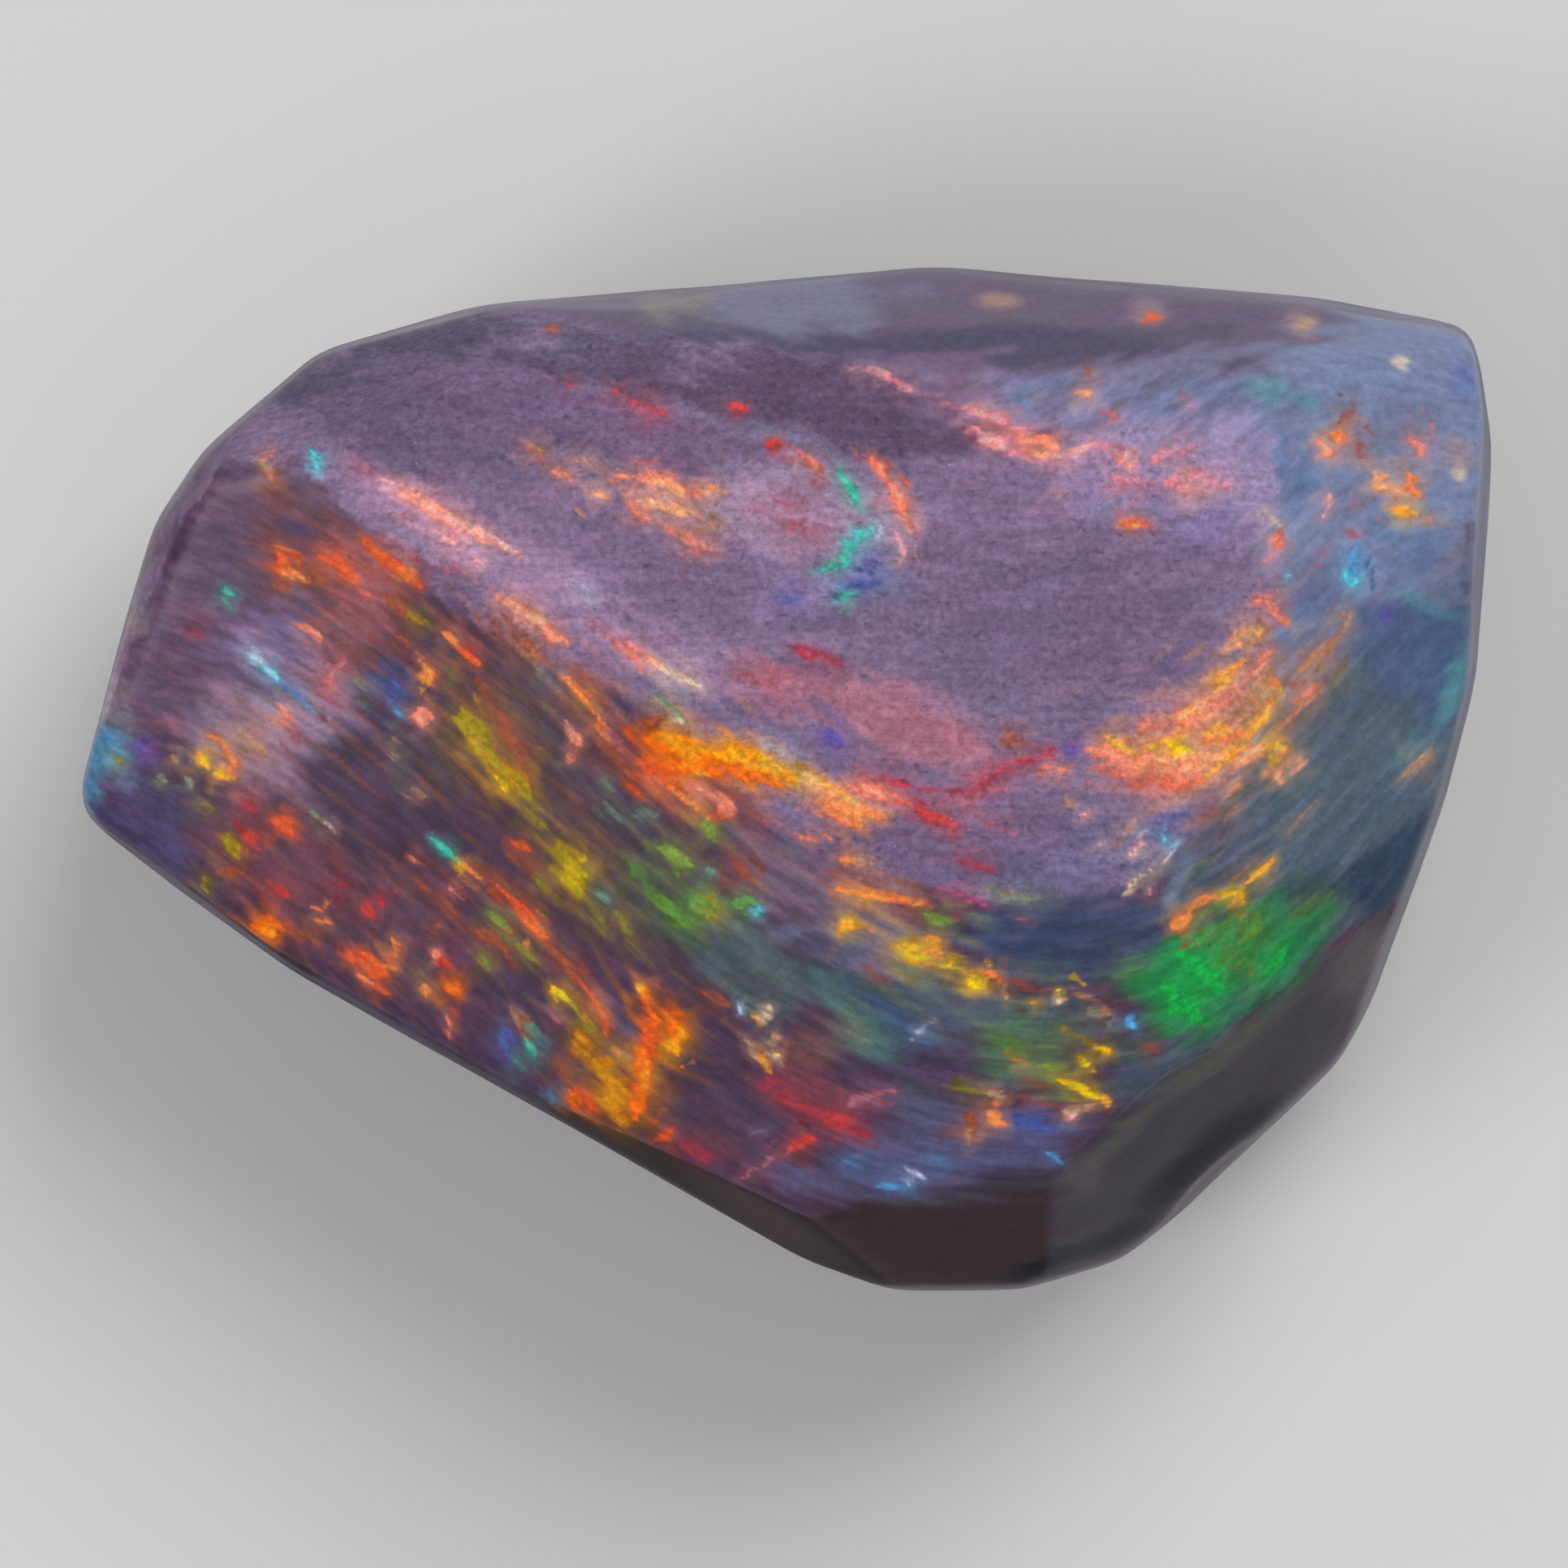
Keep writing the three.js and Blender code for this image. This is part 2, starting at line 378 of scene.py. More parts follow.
TABLE_TONES = {
    "table": (124, 107, 136), "shade_slate": (104, 90, 117), "band": (96, 80, 104),
    "mauve_band": (116, 95, 126), "slate_blue": (115, 115, 142), "mid_mauve": (126, 105, 136),
    # the ridge tone is frosted ground made paler by a painted highlight, where the rounded ridge catches
    # the light
    "pale_lilac": (140, 116, 146), "violet_mist": (134, 120, 159), "ridge": (156, 128, 160),
    "pale_mauve": (132, 110, 142), "field": (121, 105, 134), "dark_field": (115, 98, 127),
    "pink_lilac": (144, 122, 160), "dusky_violet": (124, 106, 140), "table_rose": (172, 112, 126),
    "tip": (106, 98, 130), "plum_shade": (88, 70, 100), "night": (71, 78, 106),
}
WINDOW_TONES = {
    "steel": (120, 130, 160), "deep_steel": (98, 116, 152), "grey_violet": (112, 114, 138),
    "right_navy": (84, 100, 130), "right_slate": (88, 102, 116), "deep_teal": (58, 73, 93),
    "warm_slate": (96, 92, 108), "pine": (86, 102, 104), "pine_haze": (76, 106, 106),
    "navy_shade": (66, 78, 112), "slate_shade": (84, 92, 104), "green_haze": (84, 108, 94),
    "bluish": (92, 90, 122), "plum": (82, 62, 82), "left_mauve": (104, 82, 104),
    # the lilac haze here is the left window's lilac with part of a painted soft reflection of a lamp
    "dim_rust": (120, 76, 78), "lilac_haze": (122, 100, 136), "deep_blue": (78, 81, 126),
    "indigo_edge": (81, 70, 102), "crimson_shade": (122, 72, 84),
    # the tone after brown is only a darker band just below the ridge of the table
    "wine": (102, 68, 82), "brown": (100, 70, 78), "soot": (88, 62, 80), "dark_brown": (84, 70, 78),
    "slate_edge": (86, 76, 104), "olive_edge": (105, 88, 76), "dull_green": (80, 84, 84),
    "sage_tint": (129, 125, 120), "pale_violet": (150, 134, 168), "worn_mauve": (124, 100, 118),
    "green_glow": (50, 124, 80), "hook_lilac": (160, 134, 160), "hook_blue": (124, 136, 172),
    # the palest haze here is a painted soft reflection of a lamp on the left window
    "rose_brown": (148, 92, 100), "bright_haze": (156, 128, 148), "ash": (126, 120, 124),
    "tip_blue": (88, 136, 170),
}
EDGE_TONES = {
    "strip": (101, 89, 112), "strip_dark": (88, 83, 103), "front_brown": (63, 51, 53),
    # the darkest bevel tone is a painted shade in the dark core of the lower right bevel
    "thin_edge": (46, 36, 38), "bevel": (68, 62, 73), "bevel_dark": (32, 32, 42),
    # the bevel rim tone is a painted rim of light along the bottom of the lower right bevel
    "bevel_rim": (74, 70, 82), "bevel_rose": (94, 86, 92), "bevel_olive": (88, 86, 80),
    "wall": (88, 76, 98), "potch": (118, 110, 116),
}
PALETTE = FLASH_COLOURS | TABLE_TONES | WINDOW_TONES | EDGE_TONES
BRIGHTER = 1.02
SHINE = 0.014
DARKEST = 0.003


def colour(name):
    return np.array(PALETTE[name], float) / 255


def to_light(shades):
    low_part = shades / 12.92
    high_part = ((shades + 0.055) / 1.055) ** 2.4
    return np.where(shades <= 0.04045, low_part, high_part)


def to_paint(shades):
    return np.maximum(DARKEST, (to_light(shades) - SHINE) / BRIGHTER)


print("colours:", len(PALETTE))

# %% [markdown]
# ## Which way the layers run
#
# The colour in this stone lies in bent layers, like grain in wood, and all its fine streaks follow
# them. The direction is given at some places, and two smooth surfaces are fitted to it:
# one grows along the layers and one across them. Together they are a pair of coordinates that
# bend with the stone, so a noise stretched in them gives fibres that bend too.

# %% Bent coordinates along and across the layers
# x and y in mm, and the direction of the layers there in degrees
LAYERS = [
    (-8.3, 5.5, -25), (-9.3, 4.3, 5), (-9.0, 3.6, 4), (-9.7, 2.6, -5),
    (-7.6, 4.9, -40), (-6.1, 3.9, -42), (-4.5, 2.5, -38), (-2.7, 1.6, -28),
    (-0.8, 0.7, -20), (1.0, -0.2, -24), (2.8, -0.6, -5), (4.3, -0.2, 15), (5.9, 0.4, 30),
    (7.0, 1.4, 48), (7.6, 2.9, 70), (7.6, 4.4, 80), (6.5, 3.2, 60), (-4.0, 4.4, -15),
    (-2.1, 4.4, -12), (-1.3, 3.4, -30), (0.4, 4.4, -30), (1.6, 3.9, -60), (3.6, 5.3, -22),
    (5.5, 4.9, -10), (-2.1, 5.6, -10), (0.4, 5.9, -5), (0.4, 2.5, -8), (3.4, 2.0, 10),
    (5.3, 2.6, 25), (-8.2, 3.5, -42), (-7.2, 3.0, -42), (-7.6, 1.5, -48), (-5.7, 2.5, -48),
    (-5.0, 1.0, -50), (-6.0, -0.2, -42), (-4.0, 0.0, -52), (-3.9, -2.0, -58), (-3.1, -1.2, -62),
    (-2.3, -4.2, -76), (-2.6, -2.7, -68), (-9.2, 0.4, -40), (-8.3, -1.7, -32), (-6.4, -2.7, -32),
    (-4.6, -4.0, -45), (-3.3, 0.7, -46), (-1.7, -0.4, -38), (-0.8, -1.9, -28), (1.0, -1.8, -15),
    (2.0, -2.6, -24), (3.2, -3.2, -32), (4.4, -4.0, -33), (0.4, -3.4, -22), (-0.1, -4.4, -30),
    (1.0, -5.4, -10), (2.8, -5.6, -15), (5.9, -2.1, 35), (7.3, -1.5, 38), (6.5, -3.1, 22),
    (8.3, -2.0, 30), (6.6, -0.5, 48), (8.0, 0.1, 50), (8.7, 2.5, 60), (9.6, 0.8, 60),
    (8.7, 4.9, -35), (9.8, 5.9, -30), (-0.8, 6.9, 0), (4.1, 6.9, 0), (-4.5, 6.7, 8), (6.0, -5.5, 38),
    (7.9, -4.0, 42),
]
HIGHEST_POWER = 5
POWERS = range(HIGHEST_POWER + 1)
SURFACE_POWERS = [(i, j) for i in POWERS for j in POWERS if 0 < i + j <= HIGHEST_POWER]
HALF_LENGTH, HALF_WIDTH = 11.0, 8.0
# keeps the surfaces calm where no direction is given
FIRMNESS = 0.01


def slopes_at(x, y):
    u, v = x / HALF_LENGTH, y / HALF_WIDTH
    by_x = [i * u ** max(i - 1, 0) * v**j / HALF_LENGTH for i, j in SURFACE_POWERS]
    by_y = [j * u**i * v ** max(j - 1, 0) / HALF_WIDTH for i, j in SURFACE_POWERS]
    return np.array(by_x), np.array(by_y)


def fit_surface(quarter_turn):
    rows, wanted = [], []
    for x, y, angle in LAYERS:
        by_x, by_y = slopes_at(x, y)
        turned = math.radians(angle + quarter_turn)
        rows += [by_x, by_y]
        wanted += [math.cos(turned), math.sin(turned)]
    firm = FIRMNESS * np.eye(len(SURFACE_POWERS))
    rows = np.vstack([np.array(rows), firm])
    wanted = np.concatenate([wanted, np.zeros(len(SURFACE_POWERS))])
    return np.linalg.lstsq(rows, wanted, rcond=None)[0]


def surface_height(weights, places):
    u, v = places[:, 0] / HALF_LENGTH, places[:, 1] / HALF_WIDTH
    return sum(w * u**i * v**j for w, (i, j) in zip(weights, SURFACE_POWERS))


grain = np.column_stack([
    surface_height(fit_surface(0), places),
    surface_height(fit_surface(90), places),
    places[:, 2],
])
print("grain runs from", grain.min(0).round(1), "to", grain.max(0).round(1))

# %% [markdown]
# ## Ragged edges
#
# Nothing in opal ends in a clean curve. Before a patch or a streak is laid, the places it is
# measured from are pushed about by a noise that runs along the layers, so every edge comes out
# frayed the way the layers run. The noise is a sum of many plain waves with fixed random phases.

# %% Push the places about along the layers
# how far the places are pushed, in mm
BROAD_REACH, FINE_REACH, SLIGHT_REACH = 0.16, 0.09, 0.035
rng = np.random.default_rng(11)


def waves(lengths_along, lengths_across, count=26):
    total = np.zeros(len(places))
    for _ in range(count):
        along = rng.uniform(-1, 1) * 2 * math.pi / rng.uniform(*lengths_along)
        across = rng.choice([-1, 1]) * 2 * math.pi / rng.uniform(*lengths_across)
        total += np.sin(grain[:, 0] * along + grain[:, 1] * across + rng.uniform(0, 2 * math.pi))
    return total / math.sqrt(count)


broad_push = np.column_stack([waves((1.5, 4), (0.8, 2.2)) for _ in range(2)])
fine_push = np.column_stack([waves((0.5, 1.5), (0.16, 0.5)) for _ in range(2)])
pushed = places.copy()
pushed[:, :2] += BROAD_REACH * broad_push + FINE_REACH * fine_push
slightly_pushed = places.copy()
slightly_pushed[:, :2] += SLIGHT_REACH * fine_push
print("mean push in mm:", round(float(np.abs(pushed - places)[:, :2].mean()), 3))

# %% [markdown]
# ## Body colour
#
# The body is painted in order, as with glazes: first one dusky tone, then a tone for each ground
# face by the way it looks, then the larger areas of each face with fine threads in them, then
# small soft dots. A face is found by its direction, so its tone ends exactly where the face does.
# Areas are listed as a tone, a strength, a softness and the corners of the area in mm.

# %% Tones of the ground faces
body = np.tile(colour("plum"), (len(places), 1))
# the top is all that does not look down, above the potch
top = ramp(looks[:, 2], -0.25, 0.05) * ramp(places[:, 2], 2.8, 3.8)


def glaze(mask, name, strength=1.0):
    share = (mask * strength)[:, None]
    body[:] = body * (1 - share) + colour(name) * share


# the direction that a face looks in, how far from it the tone reaches and the tone
FACE_TONES = [
    ((91, 66), 18, "strip"), ((112, 58), 15, "strip"), ((82, 62), 14, "strip"), ((91, 34), 13, "strip"),
    ((20, 27), 11, "steel"), ((350, 23), 11, "steel"), (LOW_RIGHT_WINDOW, 9, "right_slate"),
    (LOWER_RIGHT_BEVEL, 13, "bevel"), (LOWER_RIGHT_CORNER, 9, "bevel"), (FRONT_CORNER, 10, "front_brown"),
    (FRONT_BEVEL, 13, "front_brown"), (THIN_FRONT_EDGE, 14, "thin_edge"),
]
for face, within, tone in FACE_TONES:
    glaze(looking(looks, *face, within), tone)
print("faces with a tone of their own:", len(FACE_TONES))


# %% Reading the lists of areas, dots and flashes
def depth_inside(spots, outline):
    nearest = np.full(len(spots), 1e9)
    inside = np.zeros(len(spots), bool)
    for start, end in zip(outline, outline[1:] + outline[:1]):
        distance, _ = line_distance(spots, np.array(start), np.array(end))
        nearest = np.minimum(nearest, distance)
        rises = (start[1] > spots[:, 1]) != (end[1] > spots[:, 1])
        lean = (end[0] - start[0]) / (end[1] - start[1] or 1e-9)
        inside ^= rises & (spots[:, 0] < start[0] + lean * (spots[:, 1] - start[1]))
    return np.where(inside, nearest, -nearest)


def read_list(text):
    """One entry to a line: a name and then numbers. A line that starts with spaces goes on."""
    for line in text.replace("\n    ", " ").split("\n"):
        if line and not line.startswith("#"):
            name, *numbers = line.split()
            yield name, [float(number) for number in numbers]


def in_pairs(numbers):
    return list(zip(numbers[0::2], numbers[1::2]))


def lay_areas(text, mask):
    for tone, (strength, softness, *corners) in read_list(text):
        outline = in_pairs(corners)
        near = np.all(pushed[:, :2] > np.min(outline, axis=0) - softness, axis=1)
        near &= np.all(pushed[:, :2] < np.max(outline, axis=0) + softness, axis=1)
        members = np.flatnonzero(near & (mask > 0))
        depth = depth_inside(pushed[members], outline)
        share = (ramp(depth, -softness, softness) * mask[members] * strength)[:, None]
        body[members] = body[members] * (1 - share) + colour(tone) * share


# %% Areas of the windows and of the strip along the back
# In the left windows the two hazes carry a painted soft reflection of a lamp: the palest one wholly, the
# lilac one in part over the window's own lilac.
WINDOW_AREAS = """
# right windows
slate_blue 0.9 0.25 1.4 6.1 2.6 6 3.3 5.6 3.6 5.4 2.6 5.5 1.9 5.7
slate_blue 1 0.3 6.1 6.1 7.8 6.4 8.2 4.9 8.3 3.2 8.2 2 7.2 1.2 7 2.5 7.2 3.9 7 5.1 6.3 5.5
steel 1 0.3 7.3 6.4 9.5 7.5 11.6 7.3 11.6 4 9 3.9 7.8 3.2 7.4 3.9 7.5 5.2
deep_steel 0.8 0.3 7.4 5.1 8 4.8 8.1 4.3 7.6 3.9 7.3 4.2
deep_steel 0.6 0.3 8.2 4.5 9 4.2 9.2 3.7 8.5 3.9
slate_blue 0.6 0.3 9 5.7 10 5.7 10 5.2 9.1 5.2
grey_violet 0.9 0.3 9.7 3.8 11.6 4 11.6 2.9 9.9 2.9 9.5 3.3
deep_steel 0.8 0.25 9 3.8 9.7 3.7 9.7 3.1 9 3.2
deep_steel 0.9 0.2 7.5 2.6 8.3 3 8.5 2.2 7.7 1.9 7.2 2
right_navy 1 0.3 8.8 2.8 11.6 2.9 11.4 0.8 10.5 0.3 9 1 8.3 1.7 8.5 2.5
right_slate 1 0.3 7.6 0.7 8.7 1.7 10.4 0.4 11.1 0.8 10.9 -0.4 10.1 -0.5 8.3 -1.3 7 -1.6
     6.1 -1.5 6 -1 6.6 -0.5
deep_teal 1 0.22 6.1 -1.9 7.8 -1.6 9.3 -0.9 10.4 -0.2 11.1 0 10.6 -1.5 9.1 -1.9 8.3 -1.9 7 -1.8
warm_slate 0.6 0.25 6 -0.6 7 -0.4 7 -1.5 6.1 -1.5
# front windows
pine 0.9 0.3 -1.5 -1.5 -0.1 -2.1 0.4 -2.7 -0.1 -3.7 -1.3 -2.9
pine_haze 0.9 0.3 -0.1 -2.8 1.1 -2.8 2.2 -3 1.6 -4.3 1.1 -4.3 0.4 -3.5
navy_shade 0.8 0.2 1.1 -3 1.7 -3.3 2 -4 1.6 -3.9 1.2 -3.5
slate_shade 0.9 0.3 1.7 -2.8 4.1 -3.3 4.7 -4 3.8 -4 2.6 -3.5
slate_shade 0.9 0.25 1.7 -3 2.8 -3.2 3.2 -3.8 2.6 -4 1.9 -3.8
green_haze 0.9 0.25 3.1 -3.5 3.7 -3.6 4.4 -4.2 4.3 -4.5 3.3 -4.3 3 -4
plum_shade 0.9 0.25 1.9 -3.9 2.8 -4.2 3.3 -4.5 2.6 -4.8 1.7 -4.4
slate_shade 0.7 0.3 1.6 -4.4 2.4 -4.7 2.5 -5.3 1.7 -5.3
bluish 0.9 0.3 1.6 -5.1 2.8 -4.9 4.6 -5.2 4.3 -5.7 3.5 -6.1 2.2 -6.2 1.4 -5.6
bluish 0.9 0.25 -0.1 -5.8 1 -5.5 2.4 -5.6 2.3 -6.3 0.8 -6.5 -0.1 -6.3
brick 0.8 0.25 0.3 -3.7 0.8 -3.7 1 -4.2 0.6 -4.5 0 -4.4 0 -4
plum 0.9 0.3 -1.5 -4.1 -0.3 -4.2 -0.5 -5.2 -1.7 -5.3 -2.1 -4.9
slate_shade 0.8 0.3 4.9 -4 6.6 -3.9 5.8 -4.7 5.1 -4.9
dull_green 0.7 0.25 5.3 -1.8 8.3 -1.7 8.3 -2.7 7.3 -3.4 6.1 -4.1 5.2 -3.7 5.2 -2.7
green_glow 0.9 0.22 5.3 -2.4 6.1 -2.1 7.3 -1.8 8.3 -1.9 8.1 -2.6 7.4 -3.2 6.3 -3.7 5.7 -3.8
     5.1 -3.2
# left windows
left_mauve 1 0.3 -10.5 5 -8.2 5.1 -7.4 4.4 -7.7 3.8 -8 2.8 -8.6 2.5 -9.3 2.2 -10.8 2.3
left_mauve 1 0.3 -11.1 2.4 -8.7 2.2 -8.4 1.5 -8.9 0.9 -10 0.8 -11.3 0.8
dim_rust 0.8 0.35 -7.9 4.4 -6.9 4.4 -6.1 3.4 -5.5 2.7 -6 2.3 -7 2.7 -7.9 2.7
lilac_haze 1 0.35 -8.9 2.5 -7.2 2.7 -7 2 -6.5 1.1 -7 0.8 -7.6 1.2 -8.4 1.7
bright_haze 0.95 0.35 -8.9 1.5 -7.9 1.7 -7 1.7 -6.5 1.2 -6.8 0.5 -7.5 0 -8.5 0 -9.1 0.6
deep_blue 0.8 0.2 -6.3 2.1 -5.7 1.7 -5.6 1 -6.1 0.9 -6.4 1.4
plum 1 0.3 -6.8 0.9 -6 0.9 -5 0.8 -4.5 0 -4 -1 -5 -1.5 -6 -1.2 -6.9 -0.5 -7 0.3
indigo_edge 0.95 0.25 -11.3 -0.2 -9.7 0 -9 -0.6 -9.1 -1.5 -11.1 -1.8 -11.3 -0.7
crimson_shade 0.7 0.35 -8.9 -0.5 -7 -0.5 -6.8 -2 -7.8 -2.1 -9 -1.5
wine 0.8 0.35 -7 -0.9 -5 -1.5 -4.6 -2.7 -5.1 -3.5 -6.4 -3.4 -7.1 -2.5
brown 0.85 0.35 -5 2.5 -4 2 -2.8 1 -2.3 0 -3 0.3 -4 1 -4.9 1.6
soot 0.8 0.25 -5.5 3.3 -4.5 2.6 -3.8 1.6 -4 1.1 -5 2 -5.7 2.9
dark_brown 0.9 0.3 -4 1.2 -3 0.3 -2.6 -0.6 -2.3 -1 -3 -0.8 -3.5 -0.2 -3.9 0.5
soot 0.7 0.25 -3.3 0 -2.3 -0.7 -2.2 -1.1 -2.9 -1
dark_brown 0.8 0.3 -2.8 -1.2 -2.1 -2.1 -1.5 -2.8 -1.5 -3.4 -2.2 -2.9 -2.7 -2.1
bluish 0.9 0.2 -2.8 -3.1 -2.5 -3.3 -2.3 -4.1 -2.6 -4.1 -2.8 -3.6
plum 0.8 0.25 -3.7 -1.7 -3.1 -2.3 -2.8 -2.9 -3.3 -2.7 -3.7 -2.3
slate_edge 0.7 0.15 -7.4 -2.9 -6.6 -3.2 -5.6 -3.8 -4.6 -4.4 -3.6 -4.9 -3.4 -5.2 -4.7 -4.7
     -5.9 -4 -7.2 -3.2
olive_edge 0.6 0.15 -9.8 -1.1 -8.8 -1.9 -8.4 -2.2 -8.5 -2.4 -9.3 -1.8 -10 -1.2
rose_brown 0.85 0.25 -7 3.7 -6.1 3.6 -5.9 2.9 -6.1 2.3 -6.3 1.5 -7 1.5 -7 2.7
plum 1 0.2 -10.7 4.9 -9.3 4.5 -8.9 3.7 -9.1 3.2 -9.9 3.3
ash 0.7 0.2 -10.7 1.5 -10.1 1.4 -9.9 0.9 -10.4 0.8 -11 0.8
# back strip
mauve_band 1 0.3 1.6 6.4 6.5 6.4 6.5 5.6 4.1 5.5 2.6 5.6 1.6 6
strip_dark 1 0.12 -1.6 6.9 0.4 7 4.1 6.9 7 6.7 7 6.4 4.1 6.3 0.9 6.4 -0.8 6.3 -3.3 6.3 -5 6.3
     -5.8 6.5 -3.3 6.6
slate_blue 1 0.3 -1.4 7.7 -0.1 8 1.1 8 1.3 7 -0.1 6.7 -1 6.8
sage_tint 0.9 0.25 -2.2 7.2 -1.8 7.8 -1.1 7.8 -1.2 7 -1.8 6.9
"""
lay_areas(WINDOW_AREAS, top)
print("window areas:", len(list(read_list(WINDOW_AREAS))))

# %% [markdown]
# Fine threads of darker and warmer colour run along the layers inside the windows. They are too
# many to list, so they come from waves that are long along the layers and short across them.

# %% Threads inside the windows
# the bevel at the left end turns away from the light, so its paint is a little paler
LEFT_END_LIFT = 0.25
# tone, strength, middle of the part that has them, half length, half width, lean
THREADS = [
    ("rust", 0.45, (-5.6, 0.2), 3.6, 2.0, -42),
    ("brick", 0.45, (-3.2, 0.2), 3.4, 1.5, -42),
    ("dark_brown", 0.60, (-4.6, 0.6), 4.2, 2.2, -42),
    ("olive_edge", 0.40, (-8.0, -0.6), 2.4, 1.4, -35),
    ("left_mauve", 0.45, (-8.6, 2.8), 1.4, 1.8, 0),
    # these lilac threads lie in the painted soft reflection on the left window
    ("lilac_haze", 0.45, (-8.0, 1.0), 1.8, 1.2, -40),
    ("pine", 0.45, (1.0, -3.0), 3.4, 1.6, -25),
    ("plum_shade", 0.45, (1.0, -4.4), 4.0, 1.4, -20),
    ("steel", 0.30, (7.4, 0.6), 2.2, 3.2, 50),
    ("right_navy", 0.35, (8.0, 2.6), 2.0, 3.6, 60),
]
for tone, strength, centre, half_length, half_width, lean in THREADS:
    thread = ramp(waves((1.0, 3.2), (0.12, 0.40)), 0.35, 1.5)
    part = ramp(oval(places, centre, half_length, half_width, lean), 0.1, 0.7)
    glaze(thread * part * top, tone, strength)

left_end_bevel = looking(looks, *LEFT_END, 16)
body *= (1 + LEFT_END_LIFT * left_end_bevel)[:, None]
print("kinds of thread:", len(THREADS))

# %% [markdown]
# The coarse wheel has left the table frosted: countless tiny scratches scatter the light, so its
# colours look pale and powdery. A line of points round the frosted ground gives the mask for it,
# with an edge as frayed as all others, and its own areas are laid only inside that mask.

# %% The frosted table and its areas
# x and y in mm, round the edge of the frosted ground
FROST_EDGE = [
    (-9.0, 5.0), (-7.9, 6.2), (-6.9, 6.9), (-4.6, 7.3), (-2.0, 6.7), (1.0, 6.3), (2.0, 5.7), (2.8, 5.1),
    (3.9, 4.9), (4.9, 5.2), (6.3, 5.5), (7.0, 5.2), (7.3, 4.2), (7.4, 2.7), (7.0, 1.4), (6.5, 0),
    (5.9, -1.2), (5.1, -1.75), (3.8, -1.95), (2.8, -1.9), (1.6, -1.6), (0.4, -1), (-0.8, 0),
    (-2.1, 0.9), (-3.4, 1.6), (-4.6, 2.3), (-5.9, 3.3), (-6.9, 4.3), (-7.6, 4.8),
]
# The palest tone along the rounded ridge is frosted ground with a painted highlight, where the edge catches
# the light.
TABLE_AREAS = """
strip_dark 0.9 0.2 -6.7 6.3 -6.3 7 -5.2 7.2 -4.2 7 -4.4 6.7 -5 6.4 -6 6.3
strip_dark 0.85 0.2 -8 5.9 -7.1 6.5 -6.5 6.3 -7 5.7 -7.6 5.6
strip_dark 0.7 0.2 -4.5 6.5 -3.3 6.7 -2.1 6.7 -1.9 6.3 -3.3 6.2 -4.5 6.2
shade_slate 0.9 0.25 -7.1 5.7 -6.5 6.3 -5.5 6.3 -4.5 6.1 -5 5.9 -4.5 5.4 -3.9 5 -4.5 4.5
     -5.7 4.6 -6.7 4.9
band 0.95 0.22 -4.5 6.2 -3.3 6.1 -2.6 6.1 -2.1 5.8 -1.3 5.6 -0.5 5.5 0.4 5.3 1.1 5 1.6 4.8
     2.3 4.8 3.3 4.9 2.7 5.4 1.9 5.9 1 6.3 -0.8 6.3 -3.3 6.3
mauve_band 0.9 0.18 -5.6 6 -4.5 6.1 -3.3 6 -2.7 5.8 -2.2 5.5 -1.4 5.2 -0.2 5 0.5 4.8 -0.2 4.7
     -1.4 4.8 -2.8 4.9 -4 5.1 -4.7 5.4
slate_blue 0.5 0.2 -1.4 5.5 -0.5 5.5 1.1 5.1 1.1 4.7 0.4 4.9 -0.8 5
mid_mauve 0.8 0.35 -6.5 4.6 -5.5 4.5 -4 4.8 -3 4.5 -2.5 3.9 -1.7 3.4 -0.8 3.2 0.1 3.2 0.4 2.5
     -0.8 2 -2.1 2.5 -3.3 2.9 -4.5 3.8 -5.5 4.3
pale_lilac 0.6 0.3 -0.8 4.4 0.6 4.5 1 4.2 0.9 3.6 0.4 3.3 -0.5 3.4 -1 3.9
violet_mist 0.6 0.25 -0.6 3.4 0.4 3.3 1.1 2.8 0.4 2.3 -0.5 2.6
hook_lilac 0.85 0.25 -1.2 4.4 -0.1 4.7 1.1 4.6 1.7 4.3 1.8 3.7 0.9 3.3 -0.1 3.3 -1.1 3.6
hook_blue 0.7 0.2 0.8 3.4 1.5 3.6 1.7 3.1 1.4 2.6 0.8 2.6
ridge 1 0.3 -7 4.9 -6.5 4.9 -5.5 4.4 -4.5 3.8 -3.5 3.3 -2.5 2.7 -2.1 2.2 -1.3 2 -0.6 1.6
     -0.8 1.3 -1.8 1.5 -2.8 2.1 -3.8 2.6 -4.7 2.9 -5.7 3.5 -6.6 4.2
pale_mauve 0.8 0.25 1.9 4.7 3.3 4.9 4.1 4.6 4.4 4.2 3.4 3.8 2.2 3.7 1.9 4.2
field 0.9 0.45 1.9 3.6 3.4 3.8 4.5 3.9 5.9 3.6 6.9 3.4 7.2 2.9 6.9 2.2 6.2 1.4 5 1 4 0.8
     3.1 0.9 2.6 1.3 1.6 1.7 0.8 2.1 1.1 2.8
dark_field 0.6 0.4 2.6 3.3 4.4 3.2 6.2 2.8 6.2 2 5 1.2 3.3 1.4 2.6 2 2.1 2.7
pink_lilac 0.9 0.28 3.6 4.8 4.1 5 5.3 5.2 6.5 5.3 7 5 7.3 4.2 7 3.7 5.9 3.7 5 4.1 4.4 4.2
slate_blue 0.6 0.15 4.5 4.4 5.3 4.3 5.9 4.2 5.8 3.9 5 4
dusky_violet 0.85 0.2 -1.2 1.3 -0.1 1.1 0.8 0.8 1.1 0.1 -0.1 0.4 -0.8 0.8 -1.4 1.1
table_rose 0.85 0.3 -0.8 1.7 -0.1 1.7 1.1 1.6 1.9 1.5 2.5 1.2 2.9 0.9 2.9 0.4 2.6 0.2 1.6 0.3
     1 0.5 0.6 1 -0.2 1.2
mauve_band 0.7 0.15 1.9 0.1 2.3 0.2 2.4 -0.1 2.2 -0.2 1.9 -0.1
"""
